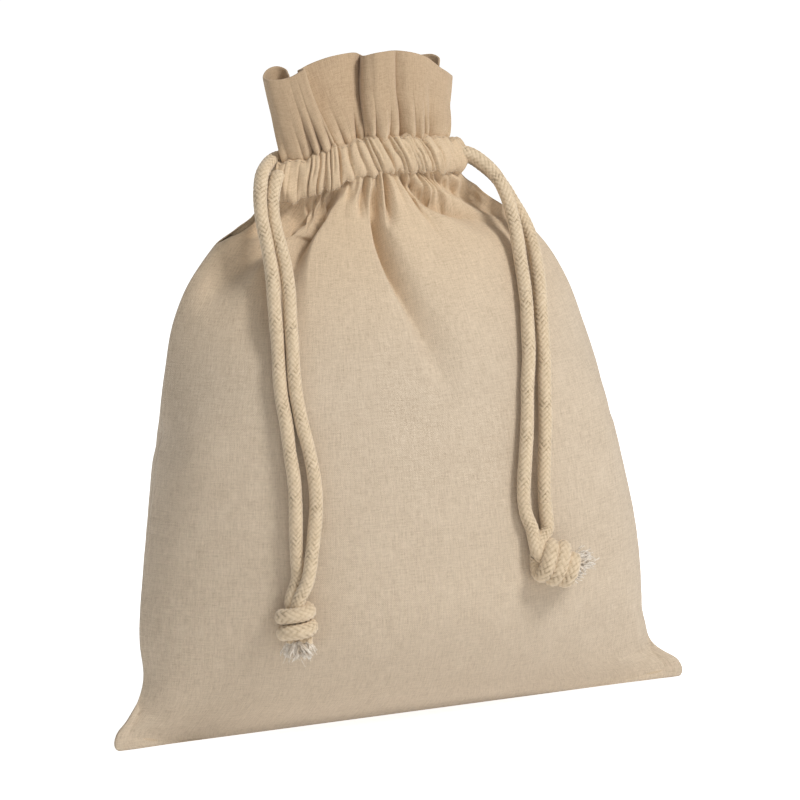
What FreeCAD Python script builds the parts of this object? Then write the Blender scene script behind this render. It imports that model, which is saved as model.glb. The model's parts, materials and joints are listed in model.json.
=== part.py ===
"""Drawstring treat pouch: a two-panel woven cotton bag with a gathered neck, a stitched cord
casing front and back, a ruffled header above it, and two loop drawcords whose tails hang over
the front and end in overhand knots with frayed tips.

Millimetres. +Z up, origin on the floor under the middle of the bottom seam.
-Y is the front panel, +X the viewer's right as seen from the front.
"""
import FreeCAD, Part
import math
import os

Vec = FreeCAD.Vector
ORIGIN = Vec(0, 0, 0)
AXIS_X = Vec(1, 0, 0)
AXIS_Y = Vec(0, 1, 0)
AXIS_Z = Vec(0, 0, 1)

FRONT, BACK = -1, 1       # signs along Y
LEFT, RIGHT = -1, 1       # signs along X

CORD_R = 3.0              # six-millimetre braided cotton cord
NECK_HALF = 40.0          # half of the gathered neck's width at the casing
NECK_SAG = 10.0           # bow of each casing in plan
NECK_SIDE_Y = 7.0         # half-depth of the neck at its two sides
LOW_RUN_Z = 219.0         # height of the left cord inside the casings
HIGH_RUN_Z = 225.3        # height of the right cord inside the casings

# Each casing bows along an arc in plan.
BOW_R = (NECK_HALF ** 2 + NECK_SAG ** 2) / (2 * NECK_SAG)
BOW_HALF_DEG = math.degrees(math.asin(NECK_HALF / BOW_R))
BOW_Y = BOW_R - NECK_SIDE_Y - NECK_SAG      # centre of the front casing's arc


def unit(vector):
    result = Vec(vector)
    result.normalize()
    return result


def placed_on(facing, shape):
    """A shape drawn at the front, mirrored if it belongs at the back."""
    return shape.mirror(ORIGIN, AXIS_Y) if facing == BACK else shape


# ---- cloth surfaces ---------------------------------------------------------------------
def grid_normals(grid):
    """Unit normals of a point grid; they face -Y where rows climb and columns run to +X."""
    last_row, last_column = len(grid) - 1, len(grid[0]) - 1
    normals = []
    for i, row in enumerate(grid):
        line = []
        for j in range(len(row)):
            up = grid[min(i + 1, last_row)][j] - grid[max(i - 1, 0)][j]
            across = row[min(j + 1, last_column)] - row[max(j - 1, 0)]
            line.append(unit(across.cross(up)))
        normals.append(line)
    return normals


def border_edges(surface):
    u0, u1, v0, v1 = surface.bounds()
    curves = [surface.uIso(u0), surface.uIso(u1), surface.vIso(v0), surface.vIso(v1)]
    return [curve.toShape() for curve in curves]


def skin(outer, inner):
    """Closed solid between two point grids of the same shape."""
    surfaces = []
    for grid in (outer, inner):
        surface = Part.BSplineSurface()
        surface.interpolate(grid)
        surfaces.append(surface)
    faces = [surface.toShape() for surface in surfaces]
    for outer_edge, inner_edge in zip(*map(border_edges, surfaces)):
        faces.append(Part.makeRuledSurface(outer_edge, inner_edge))
    shell = Part.makeShell(faces)
    shell.sewShape()
    if shell.ShapeType != "Shell":      # sewing may wrap the shell in a compound
        shell = shell.Shells[0]
    solid = Part.makeSolid(shell)
    if solid.Volume < 0:
        solid.reverse()
    healed = solid.copy()
    healed.fix(1e-4, 1e-4, 1e-2)
    return healed.Solids[0] if healed.Solids else solid


# ---- panels -----------------------------------------------------------------------------
CLOTH = 1.0               # panel thickness (woven cotton, with its loft)
SEAM_GAP = 0.10           # half of the gap left between the two panels along every seam
MID_GAP = 0.04            # least distance of a panel from the plane y 0

# Rows of the panel: centre height, centre depth, side-seam half-width, side-seam height,
# half-depth at the side edge, edge sharpness (pinched at the bottom corners, round above).
ROWS = [
    (-0.55, 0.00, 122.0, 0.30, 0.0, 1.60),
    (-0.55, 7.50, 124.0, 2.60, 0.0, 1.60),
    (-0.45, 15.0, 122.6, 7.20, 0.0, 1.55),
    (3.20, 25.0, 117.0, 13.2, 0.0, 1.42),
    (11.0, 34.5, 110.5, 20.2, 0.0, 1.22),
    (23.5, 42.5, 107.2, 29.0, 0.0, 0.98),
    (42.0, 48.6, 107.2, 43.5, 0.0, 0.82),
    (66.0, 52.0, 106.6, 66.0, 0.0, 0.75),
    (95.0, 52.4, 102.4, 95.0, 0.0, 0.72),
    (125.0, 49.6, 96.6, 125.0, 0.0, 0.72),
    (152.0, 44.4, 90.0, 151.5, 0.0, 0.72),
    (175.0, 37.4, 81.0, 173.0, 0.0, 0.74),
    (193.0, 29.0, 68.5, 189.5, 0.2, 0.78),
    (204.5, 22.4, 56.0, 202.5, 2.2, 0.86),
    (213.8, 17.2, 43.5, 213.8, 6.6, 1.00),
]
COLUMNS = 25
EDGE_POWER = 2.2          # fall of the depth from the middle to the side seams
RISE_POWER = 4.0          # turn of a row from its centre height to its side height
BASE_RISE_POWER = 6.0     # the same for rows that start below the floor

LIFT_COLUMNS = 3.0        # the seam lift fades out over this many columns
BASE_LIFT = (0.0, 0.35)   # share of the lift on the two lowest rows; the others have it all
LIFT_DEPTH = 12.0         # only points nearer the plane y 0 than this are moved
BASE_INNER_SCALE = 0.998  # width of the inner grid's lowest row against the outer one's


def panel_point(row, u, facing):
    """Outer surface point of a panel; u runs from -1 to 1 between the side seams."""
    centre_z, depth, half_width, side_z, side_depth, sharpness = row
    rise_power = BASE_RISE_POWER if centre_z < 0 else RISE_POWER
    fullness = max(0.0, 1.0 - abs(u) ** EDGE_POWER) ** sharpness
    y = side_depth + (depth - side_depth) * fullness
    z = centre_z + (side_z - centre_z) * abs(u) ** rise_power
    return Vec(half_width * u, facing * y, z)


def panel_outer_grid(facing):
    """Outer points, closer together near the seams and pushed off the plane y 0 there."""
    us = [math.sin(math.pi / 2 * (-1 + 2 * j / (COLUMNS - 1))) for j in range(COLUMNS)]
    grid = [[panel_point(row, u, facing) for u in us] for row in ROWS]
    for i, line in enumerate(grid):
        row_share = BASE_LIFT[i] if i < len(BASE_LIFT) else 1.0
        for j, point in enumerate(line):
            from_edge = min(j, COLUMNS - 1 - j)
            lift = SEAM_GAP + CLOTH * max(0.0, 1.0 - from_edge / LIFT_COLUMNS) * row_share
            if abs(point.y) < LIFT_DEPTH:
                point.y = facing * (abs(point.y) + lift)
    return grid


def panel_inner_grid(outer, facing):
    normals = grid_normals(outer)
    grid = []
    for i, line in enumerate(outer):
        inner_line = []
        for j, point in enumerate(line):
            inner = point + normals[i][j] * (facing * CLOTH)
            if i == 0:
                inner = Vec(point.x * BASE_INNER_SCALE, point.y, point.z + CLOTH)
            if i == len(outer) - 1:
                inner.z = point.z
            if inner.y * facing < SEAM_GAP:
                inner.y = facing * SEAM_GAP
            inner_line.append(inner)
        grid.append(inner_line)
    return grid


def panel(facing):
    outer = panel_outer_grid(facing)
    body = skin(outer, panel_inner_grid(outer, facing))
    # The resting face is flat, and the two panels face each other across a plane.
    body = body.cut(Part.makeBox(400, 200, 20, Vec(-200, -100, -20)))
    far_y = -MID_GAP if facing == FRONT else MID_GAP - 100
    far_side = Part.makeBox(400, 100, 400, Vec(-200, far_y, -50))
    return max(body.cut(far_side).Solids, key=lambda solid: solid.Volume)


# ---- casings and the cord runs inside them ----------------------------------------------
CASING_Z0 = 214.2         # bottom
CASING_Z1 = 230.2         # top
CASING_DEPTH = 10.4
CASING_WALL = 1.6         # gathered cloth, folded double
CASING_OUTER_CORNER = 4.6
CASING_INNER_CORNER = 3.2
BORE_OVERRUN_DEG = 1.0    # the bore passes each mouth by this angle
RUN_SETBACK_DEG = 0.5     # a cord run stops short of each mouth by this angle

STITCHES = 26
STITCH_LEN = 2.2
THREAD_R = 0.25
THREAD_OFFSET = 0.32      # from the casing's outer face to the thread's centre
STITCH_INSET = 5.2        # from the casing's bottom or top to the stitch row beside it


def rounded_rectangle(x0, x1, z0, z1, radius):
    """Rounded rectangle wire in the XZ plane."""
    cut = radius * (1 - math.sqrt(0.5))     # from a side to the middle of a corner arc

    def line(xa, za, xb, zb):
        return Part.makeLine(Vec(xa, 0, za), Vec(xb, 0, zb))

    def arc(*points):
        return Part.Arc(*[Vec(x, 0, z) for x, z in points]).toShape()

    return Part.Wire([
        line(x0 + radius, z0, x1 - radius, z0),
        arc((x1 - radius, z0), (x1 - cut, z0 + cut), (x1, z0 + radius)),
        line(x1, z0 + radius, x1, z1 - radius),
        arc((x1, z1 - radius), (x1 - cut, z1 - cut), (x1 - radius, z1)),
        line(x1 - radius, z1, x0 + radius, z1),
        arc((x0 + radius, z1), (x0 + cut, z1 - cut), (x0, z1 - radius)),
        line(x0, z1 - radius, x0, z0 + radius),
        arc((x0, z0 + radius), (x0 + cut, z0 + cut), (x0 + radius, z0)),
    ])


def bowed(profile, half_deg, facing):
    """Revolves a face drawn at y 0 about the bow's upright axis, centred on the neck."""
    face = profile.copy()
    face.rotate(ORIGIN, AXIS_Z, -90 - half_deg)
    solid = face.revolve(ORIGIN, AXIS_Z, 2 * half_deg)
    solid.translate(Vec(0, BOW_Y, 0))
    return placed_on(facing, solid)


def casing_profile(inset, corner):
    half_depth = CASING_DEPTH / 2 - inset
    return Part.Face(rounded_rectangle(BOW_R - half_depth, BOW_R + half_depth,
                                       CASING_Z0 + inset, CASING_Z1 - inset, corner))


def casing(facing):
    tube = bowed(casing_profile(0, CASING_OUTER_CORNER), BOW_HALF_DEG, facing)
    bore = bowed(casing_profile(CASING_WALL, CASING_INNER_CORNER),
                 BOW_HALF_DEG + BORE_OVERRUN_DEG, facing)
    return tube.cut(bore).Solids[0]


def cord_section(centre, direction):
    return Part.Face(Part.Wire(Part.makeCircle(CORD_R, centre, direction)))


def cord_run(z, facing):
    """Cord inside a casing."""
    return bowed(cord_section(Vec(BOW_R, 0, z), AXIS_Y), BOW_HALF_DEG - RUN_SETBACK_DEG, facing)


def stitching(z, facing):
    """Row of thread stitches lying on the outside of a casing."""
    row = []
    radius = BOW_R + CASING_DEPTH / 2 + THREAD_OFFSET
    for i in range(STITCHES):
        angle = -BOW_HALF_DEG + 2 * BOW_HALF_DEG * (i + 0.5) / STITCHES
        stitch = Part.makeCylinder(THREAD_R, STITCH_LEN, Vec(0, 0, -STITCH_LEN / 2), AXIS_Z)
        stitch.rotate(ORIGIN, AXIS_Y, 90)          # lies along X
        stitch.translate(Vec(0, -radius, z))
        stitch.rotate(ORIGIN, AXIS_Z, angle)
        stitch.translate(Vec(0, BOW_Y, 0))
        row.append(placed_on(facing, stitch))
    return Part.makeCompound(row)


# ---- header -----------------------------------------------------------------------------
HEADER_Z0 = 230.5
HEADER_Z1 = 268.0
HEADER_T = 1.6            # the header is a folded double layer
HEADER_HALF0 = 33.5       # half-width at the bottom
HEADER_HALF1 = 41.5       # half-width at the top
HEADER_COLUMNS = 49
HEADER_ROWS = 7
HEADER_SIDE_Y = 6.5       # half-depth at the sides
HEADER_MID_Y = 11.2       # half-depth at the middle of the bottom
HEADER_LEAN = 4.5         # added to the middle's half-depth by the top
HEADER_POWER = 2.2        # fall of the depth towards the sides
FLUTE_DEPTH = 1.3         # flute amplitude at the bottom
FLUTE_GROWTH = 1.9        # added to it by the top
FLUTE_HALF_WAVES = 5.5    # half-waves from the middle to a side
FLUTE_PHASE = 0.5         # radians, opposite in sign front and back
FLUTE_FADE = 0.35         # share of the amplitude lost at the sides


def header(facing):
    """Ruffle above the casing: soft flutes that open upwards."""
    outer = []
    for i in range(HEADER_ROWS):
        t = i / (HEADER_ROWS - 1)
        z = HEADER_Z0 + (HEADER_Z1 - HEADER_Z0) * t
        half = HEADER_HALF0 + (HEADER_HALF1 - HEADER_HALF0) * t
        bulge = HEADER_MID_Y + HEADER_LEAN * t - HEADER_SIDE_Y
        amplitude = FLUTE_DEPTH + FLUTE_GROWTH * t
        line = []
        for j in range(HEADER_COLUMNS):
            u = -1 + 2 * j / (HEADER_COLUMNS - 1)
            depth = HEADER_SIDE_Y + bulge * (1 - abs(u) ** HEADER_POWER)
            wave = math.sin(math.pi * FLUTE_HALF_WAVES * u + FLUTE_PHASE * facing)
            depth += amplitude * wave * (1 - FLUTE_FADE * u * u)
            line.append(Vec(half * u, -depth, z))
        outer.append(line)
    inner = [[point - normal * HEADER_T for point, normal in zip(*lines)]
             for lines in zip(outer, grid_normals(outer))]
    for i in (0, -1):                   # keep the bottom and top edges level
        for inner_point, outer_point in zip(inner[i], outer[i]):
            inner_point.z = outer_point.z
    return placed_on(facing, skin(outer, inner))


# ---- cords outside the casings ----------------------------------------------------------
CAP_OFFSET = 3.55         # from a flex point to the centre of the domed cord end next to it
STRAND_OFFSET = 3.25      # from the tail's midline to each strand's centre

BEND_GAP_DEG = 4.0        # a return bend stops short of each casing mouth by this angle
ELBOW_R = 6.2
ELBOW_DEG = 62
ELBOW_GAP = 1.5           # from the neck's side to the start of an exit

KNOT_LEN = 19.0
KNOT_R = 8.3
KNOT_WRAPS = 3
KNOT_TOP = 0.62           # radii as shares of KNOT_R: top end,
KNOT_GROOVE = 0.80        # grooves between wraps,
KNOT_BOTTOM = 0.55        # and bottom end
KNOT_GAP = 0.4            # from the last flex point to the knot

TUFT_R0 = 2.5             # radius at the knot
TUFT_R1 = 3.4             # radius at the frayed tip

# points: flex points of the tails, top to bottom, midway between the two strands
# out: level direction away from the bag, square to the pair of strands
# knot: direction of the knot's axis
# lead: straight length between the casing's mouth and the elbow
# end_gap: from the strands' lower ends to the last flex point
LEFT_CORD = {
    "side": LEFT,
    "points": [Vec(-50.0, -22.5, 201.0), Vec(-50.5, -29.0, 190.0), Vec(-52.5, -45.0, 143.0),
               Vec(-54.5, -50.8, 96.0), Vec(-57.5, -51.2, 60.0)],
    "out": Vec(-0.42, -0.91, 0),
    "knot": Vec(-0.08, 0.0, -1),
    "run_z": LOW_RUN_Z,
    "lead": 0.0,
    "end_gap": 0.4,
}
RIGHT_CORD = {
    "side": RIGHT,
    "points": [Vec(54.0, -20.0, 203.0), Vec(55.5, -26.5, 192.0), Vec(53.0, -43.5, 148.0),
               Vec(50.5, -51.5, 104.0), Vec(49.0, -54.5, 72.0)],
    "out": Vec(0.36, -0.93, 0),
    "knot": Vec(0.35, 0.0, -1),
    "run_z": HIGH_RUN_Z,
    "lead": 7.4,          # clears the low cord's return bend
    "end_gap": 2.4,
}


def return_bend(z, side):
    """Where a cord turns from the front casing into the back one, outside the neck's side."""
    half_deg = 90.0 - BOW_HALF_DEG
    radius = NECK_SIDE_Y / math.sin(math.radians(half_deg))
    centre_x = NECK_HALF - radius * math.cos(math.radians(half_deg))
    swept_half = half_deg - BEND_GAP_DEG
    section = cord_section(Vec(radius, 0, z), AXIS_Y)
    section.rotate(ORIGIN, AXIS_Z, -swept_half)
    turn = section.revolve(ORIGIN, AXIS_Z, 2 * swept_half)
    turn.translate(Vec(centre_x, 0, 0))
    return turn.mirror(ORIGIN, AXIS_X) if side == LEFT else turn


def cord_exit(cord, facing):
    """Cord leaving a casing's mouth and turning down; drawn heading -X."""
    lead = cord["lead"]
    start = Vec(0, 0, ELBOW_R)
    elbow = cord_section(start, AXIS_X).revolve(ORIGIN, AXIS_Y, -ELBOW_DEG)
    if lead:
        straight = Part.makeCylinder(CORD_R, lead, start, AXIS_X)
        elbow = elbow.fuse(straight).removeSplitter().Solids[0]
    elbow.translate(Vec(-NECK_HALF - ELBOW_GAP - lead, facing * NECK_SIDE_Y,
                        cord["run_z"] - ELBOW_R))
    return elbow.mirror(ORIGIN, AXIS_X) if cord["side"] == RIGHT else elbow


def cord_exits(cord):
    return Part.makeCompound([cord_exit(cord, facing) for facing in (FRONT, BACK)])


def rod(start, end):
    """Cord length with domed ends centred on start and end."""
    axis = end - start
    cylinder = Part.makeCylinder(CORD_R, axis.Length, start, axis)
    domes = [Part.makeSphere(CORD_R, start), Part.makeSphere(CORD_R, end)]
    return cylinder.fuse(domes).removeSplitter().Solids[0]


def across_strands(cord):
    """Unit vector from one strand to the other, towards +X."""
    out = unit(cord["out"])
    return Vec(-out.y, out.x, 0)


def strands(cord, i, top_trim=CAP_OFFSET, low_trim=CAP_OFFSET):
    """The two strands between flex points i and i + 1."""
    top, low = cord["points"][i:i + 2]
    along = unit(low - top)
    start = top + along * top_trim
    end = low - along * low_trim
    offsets = [across_strands(cord) * (k * STRAND_OFFSET) for k in (-1, 1)]
    return Part.makeCompound([rod(start + offset, end + offset) for offset in offsets])


def knot(cord):
    """Overhand knot of both strands: a grooved barrel about the knot's axis."""
    step = KNOT_LEN / KNOT_WRAPS
    end = Vec(KNOT_R * KNOT_TOP, 0, 0)
    edges = [Part.makeLine(ORIGIN, end)]
    for i in range(KNOT_WRAPS):
        start = end
        share = KNOT_GROOVE if i < KNOT_WRAPS - 1 else KNOT_BOTTOM
        end = Vec(KNOT_R * share, 0, (i + 1) * step)
        middle = Vec(KNOT_R, 0, (i + 0.5) * step)
        edges.append(Part.Arc(start, middle, end).toShape())
    axis_end = Vec(0, 0, KNOT_LEN)
    edges.append(Part.makeLine(end, axis_end))
    edges.append(Part.makeLine(axis_end, ORIGIN))
    barrel = Part.Face(Part.Wire(edges)).revolve(ORIGIN, AXIS_Z, 360).Solids[0]
    axis = unit(cord["knot"])
    barrel.Placement = FreeCAD.Placement(cord["points"][-1] + axis * KNOT_GAP,
                                         FreeCAD.Rotation(AXIS_Z, axis))
    return barrel


def tufts(base, offset, direction, length):
    """Two frayed cord ends, set off from base to either side."""
    return Part.makeCompound([
        Part.makeCone(TUFT_R0, TUFT_R1, length, base + offset * k, direction)
        for k in (-1, 1)])


def left_frayed_ends():
    """Side by side below the knot."""
    axis = unit(LEFT_CORD["knot"])
    tuft_gap = 0.4
    base = LEFT_CORD["points"][-1] + axis * (KNOT_GAP + KNOT_LEN + tuft_gap)
    return tufts(base, across_strands(LEFT_CORD) * 3.7, axis, length=8.0)


def right_frayed_ends():
    """One above the other, pointing outwards from the knot's side."""
    direction = unit(Vec(0.86, -0.30, -0.30))
    tuft_gap = 2.0
    middle = RIGHT_CORD["points"][-1] + unit(RIGHT_CORD["knot"]) * (KNOT_LEN * 0.5)
    base = middle + direction * (KNOT_R + tuft_gap)
    return tufts(base, AXIS_Z * 4.6, direction, length=7.5)


# ---- seams inside the bag ---------------------------------------------------------------
OVERLOCK_T = 1.1
OVERLOCK_WIDTH = 5.0
SIDE_OVERLOCK_INSET = 5.2     # in from the side seam
SIDE_OVERLOCK_ROWS = ROWS[5:13]
BOTTOM_OVERLOCK_LEN = 176.0
BOTTOM_OVERLOCK_Z = 1.6


def side_overlock(side):
    """Overlocked seam allowance along a side seam, inside the bag."""
    y = OVERLOCK_T / 2
    wires = []
    for _, _, half_width, z, _, _ in SIDE_OVERLOCK_ROWS:
        x0 = side * (half_width - SIDE_OVERLOCK_INSET)
        x1 = side * (half_width - SIDE_OVERLOCK_INSET - OVERLOCK_WIDTH)
        corners = [Vec(x0, -y, z), Vec(x1, -y, z), Vec(x1, y, z), Vec(x0, y, z)]
        wires.append(Part.makePolygon(corners + corners[:1]))
    return Part.makeLoft(wires, True, False)


def bottom_overlock():
    """Overlocked seam allowance along the bottom seam, standing up inside the bag."""
    corner = Vec(-BOTTOM_OVERLOCK_LEN / 2, -OVERLOCK_T / 2, BOTTOM_OVERLOCK_Z)
    return Part.makeBox(BOTTOM_OVERLOCK_LEN, OVERLOCK_T, OVERLOCK_WIDTH, corner)


def save(name, shape):
    shape.exportStep(os.path.join("parts", name + ".step"))


def main():
    os.makedirs("parts", exist_ok=True)
    for name, facing in (("front", FRONT), ("back", BACK)):
        save(name + "_panel", panel(facing))
        save(name + "_casing", casing(facing))
        save(name + "_header", header(facing))
        save(name + "_lower_stitching", stitching(CASING_Z0 + STITCH_INSET, facing))
        save(name + "_upper_stitching", stitching(CASING_Z1 - STITCH_INSET, facing))
        save("left_cord_" + name + "_run", cord_run(LOW_RUN_Z, facing))
        save("right_cord_" + name + "_run", cord_run(HIGH_RUN_Z, facing))
    save("left_cord_return_bend", return_bend(LOW_RUN_Z, RIGHT))
    save("right_cord_return_bend", return_bend(HIGH_RUN_Z, LEFT))
    save("left_side_overlock", side_overlock(LEFT))
    save("right_side_overlock", side_overlock(RIGHT))
    save("bottom_overlock", bottom_overlock())
    for name, cord in (("left", LEFT_CORD), ("right", RIGHT_CORD)):
        save(name + "_cord_exits", cord_exits(cord))
        save(name + "_cord_top", strands(cord, 0, top_trim=0.0))
        save(name + "_cord_upper", strands(cord, 1))
        save(name + "_cord_middle", strands(cord, 2))
        save(name + "_cord_lower", strands(cord, 3, low_trim=CORD_R + cord["end_gap"]))
        save(name + "_knot", knot(cord))
    save("left_frayed_ends", left_frayed_ends())
    save("right_frayed_ends", right_frayed_ends())


main()
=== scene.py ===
"""A gathered cotton pouch, closed by two braided cords that end in knotted, frayed tails.

Z is up and the pouch stands on z = 0. Its front faces -Y, and +X is the right of a viewer in
front. Lengths are millimetres, turned into metres (MM) where they reach Blender; the stage is
in metres. A sign of -1 means the front of the pouch and +1 the back.
"""
import bpy, math, json
import numpy as np
from mathutils import Vector, Matrix
from types import SimpleNamespace


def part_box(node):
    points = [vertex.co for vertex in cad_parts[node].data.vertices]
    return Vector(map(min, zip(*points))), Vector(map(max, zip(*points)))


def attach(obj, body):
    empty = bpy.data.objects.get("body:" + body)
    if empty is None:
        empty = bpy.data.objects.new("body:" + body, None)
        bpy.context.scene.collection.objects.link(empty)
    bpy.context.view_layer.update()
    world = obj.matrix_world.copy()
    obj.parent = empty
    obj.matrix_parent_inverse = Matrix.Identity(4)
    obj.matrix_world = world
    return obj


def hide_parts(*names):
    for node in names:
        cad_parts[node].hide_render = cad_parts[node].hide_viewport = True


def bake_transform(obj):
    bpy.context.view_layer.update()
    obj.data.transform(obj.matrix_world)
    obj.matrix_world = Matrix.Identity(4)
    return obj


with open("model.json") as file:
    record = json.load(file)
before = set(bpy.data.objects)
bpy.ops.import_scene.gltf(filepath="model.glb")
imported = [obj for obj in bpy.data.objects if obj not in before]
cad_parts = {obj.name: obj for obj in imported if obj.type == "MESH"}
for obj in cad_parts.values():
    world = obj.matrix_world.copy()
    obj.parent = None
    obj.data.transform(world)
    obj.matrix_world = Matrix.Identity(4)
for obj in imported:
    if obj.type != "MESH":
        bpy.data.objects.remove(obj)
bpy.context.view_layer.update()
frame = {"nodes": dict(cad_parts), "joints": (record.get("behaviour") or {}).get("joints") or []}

MM = 0.001
SIGN = {"front": -1, "back": 1}
scene = bpy.context.scene


def low_high(node):
    """A CAD node's lowest and highest corners at rest, mm."""
    low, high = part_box(node)
    return np.array(low, float) / MM, np.array(high, float) / MM


PIVOT = {joint["name"]: np.array(joint["pos_m"], float) / MM
         for joint in frame["joints"] if joint.get("pos_m")}
PANEL_LO, PANEL_HI = low_high("front_panel")
CASING_LO, CASING_HI = low_high("front_casing")
HEADER_LO, HEADER_HI = low_high("front_header")


# ---- curves and meshes -------------------------------------------------------------------
def smooth(t):
    """Smooth step from 0 to 1."""
    t = np.clip(t, 0.0, 1.0)
    return t * t * (3 - 2 * t)


def bell(value, centre, width):
    return np.exp(-((value - centre) / width) ** 2)


def unit(vector):
    vector = np.asarray(vector, float)
    return vector / np.linalg.norm(vector)


def run_length(points):
    """Length run along a line of points, at each point."""
    steps = np.linalg.norm(np.diff(points, axis=0), axis=1)
    return np.concatenate([[0], np.cumsum(steps)])


def along(at, length, points):
    """Points of a polyline at the given lengths along it."""
    return np.stack([np.interp(at, length, points[:, k]) for k in range(3)], -1)


def cubic(x, known_x, known):
    """Smooth curve through a table of values."""
    known_x, known = np.asarray(known_x, float), np.asarray(known, float)
    x = np.atleast_1d(np.asarray(x, float))
    slope = np.gradient(known, known_x, axis=0)
    i = np.clip(np.searchsorted(known_x, x, side="right") - 1, 0, len(known_x) - 2)
    h = known_x[i + 1] - known_x[i]
    t = np.clip((x - known_x[i]) / h, 0, 1)
    shape = (slice(None),) + (None,) * (known.ndim - 1)
    t, h = t[shape], h[shape]
    return ((2 * t**3 - 3 * t**2 + 1) * known[i] + (t**3 - 2 * t**2 + t) * h * slope[i]
            + (-2 * t**3 + 3 * t**2) * known[i + 1] + (t**3 - t**2) * h * slope[i + 1])


def grid_faces(rows, columns, sign=-1, close_rows=False, close_columns=False):
    """Quads of a grid of points stored row by row; sign +1 turns them over."""
    faces = []
    for j in range(rows if close_rows else rows - 1):
        this, following = j * columns, (j + 1) % rows * columns
        for i in range(columns if close_columns else columns - 1):
            k = (i + 1) % columns
            quad = (this + i, this + k, following + k, following + i)
            faces.append(quad if sign < 0 else quad[::-1])
    return faces


def mesh_object(name, vertices, faces, uv):
    """A smooth mesh from millimetre points, with one uv per vertex."""
    mesh = bpy.data.meshes.new(name)
    mesh.from_pydata([tuple(v) for v in np.asarray(vertices, float) * MM], [], faces)
    mesh.update()
    mesh.polygons.foreach_set("use_smooth", [True] * len(mesh.polygons))
    ob = bpy.data.objects.new(name, mesh)
    scene.collection.objects.link(ob)
    layer = mesh.uv_layers.new(name="cloth")
    corner = np.zeros(len(mesh.loops), np.int32)
    mesh.loops.foreach_get("vertex_index", corner)
    layer.data.foreach_set("uv", np.asarray(uv, np.float32)[corner].ravel())
    return ob


def set_attribute(ob, name, values):
    attribute = ob.data.attributes.new(name, "FLOAT", "POINT")
    attribute.data.foreach_set("value", np.asarray(values, np.float32))


def add_subdivision(ob):
    modifier = ob.modifiers.new("sub", "SUBSURF")
    modifier.levels = modifier.render_levels = 1
    modifier.uv_smooth = "NONE"


def add_thickness(ob, thickness, offset):
    modifier = ob.modifiers.new("thick", "SOLIDIFY")
    modifier.thickness, modifier.offset = thickness * MM, offset


def apply_modifiers(ob):
    depsgraph = bpy.context.evaluated_depsgraph_get()
    mesh = bpy.data.meshes.new_from_object(ob.evaluated_get(depsgraph), depsgraph=depsgraph)
    ob.modifiers.clear()
    ob.data = mesh
    mesh.name = ob.name


# ---- gathers and the shape of the neck ---------------------------------------------------
class Gathers:
    """Irregular gathers side by side over places 0 to 1."""

    def __init__(self, seed, count):
        random = np.random.RandomState(seed)
        width = 1 + 0.5 * random.uniform(-1, 1, count)
        self.edges = np.concatenate([[0], np.cumsum(width / width.sum())])
        self.height = 1 + 0.35 * random.uniform(-1, 1, count)
        self.count = count

    def cell(self, place):
        """The gather at each place, and how far across it the place is, 0 to 1."""
        place = np.clip(place, 0, 1 - 1e-9)
        i = np.clip(np.searchsorted(self.edges, place, side="right") - 1, 0, self.count - 1)
        return i, (place - self.edges[i]) / (self.edges[i + 1] - self.edges[i])


GATHERS = {-1: Gathers(11, 25), 1: Gathers(29, 24)}      # body and casing share these
BOW_R = 72.0                                  # radius in plan of the gathered band
BAND_INSET = 7.19                             # the band's middle line behind the casing's front
BOW_Y = BOW_R - (-CASING_LO[1] - BAND_INSET)

# edges of the band: x, then the heights against the casing's bottom and top
BAND_X = [-37, -30, -20, -8, 6, 20, 30, 38]
BAND_LOWER = [-1.6, -0.4, 2.8, 6.4, 7.2, 5.8, 4.2, 3.2]
BAND_UPPER = [-0.4, 0.4, 3.4, 6.0, 6.2, 4.8, 3.2, 2.0]


def bow(x, sign):
    """y of the gathered neck's middle line."""
    return sign * (np.sqrt(np.maximum(BOW_R**2 - np.asarray(x, float)**2, 0)) - BOW_Y)


def bow_normal(x, sign):
    nx = np.asarray(x, float) / BOW_R
    return nx, sign * np.sqrt(np.maximum(1 - nx**2, 0))


def uneven(x, phase):
    """Small ups and downs of the band's edges."""
    x = np.asarray(x, float)
    return (0.55 * np.sin(0.83 * x + phase) + 0.42 * np.sin(1.47 * x + 2.3 * phase + 1.0)
            + 0.45 * np.sin(0.41 * x - phase))


def band_bottom_mean(x):
    return cubic(x, BAND_X, BAND_LOWER).reshape(np.shape(x)) + CASING_LO[2]


def band_bottom(x):
    return band_bottom_mean(x) + uneven(x, 0.6)


def band_top(x):
    return cubic(x, BAND_X, BAND_UPPER).reshape(np.shape(x)) + CASING_HI[2] + uneven(x, 2.9)


def lean_of(x):
    """Sideways move of a gather from the band's lower to upper edge, in parts of its width."""
    return 0.085 * smooth((x + 20.0) / 22.0) - 0.03 * smooth((-x - 14.0) / 12.0)


def calm_of(x):
    """Strength of the gathers: close in the middle, opening out at the ends."""
    return 1 - 0.80 * smooth((x - 21.0) / 9.0) - 0.72 * smooth((-x - 25.0) / 6.0)


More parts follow.
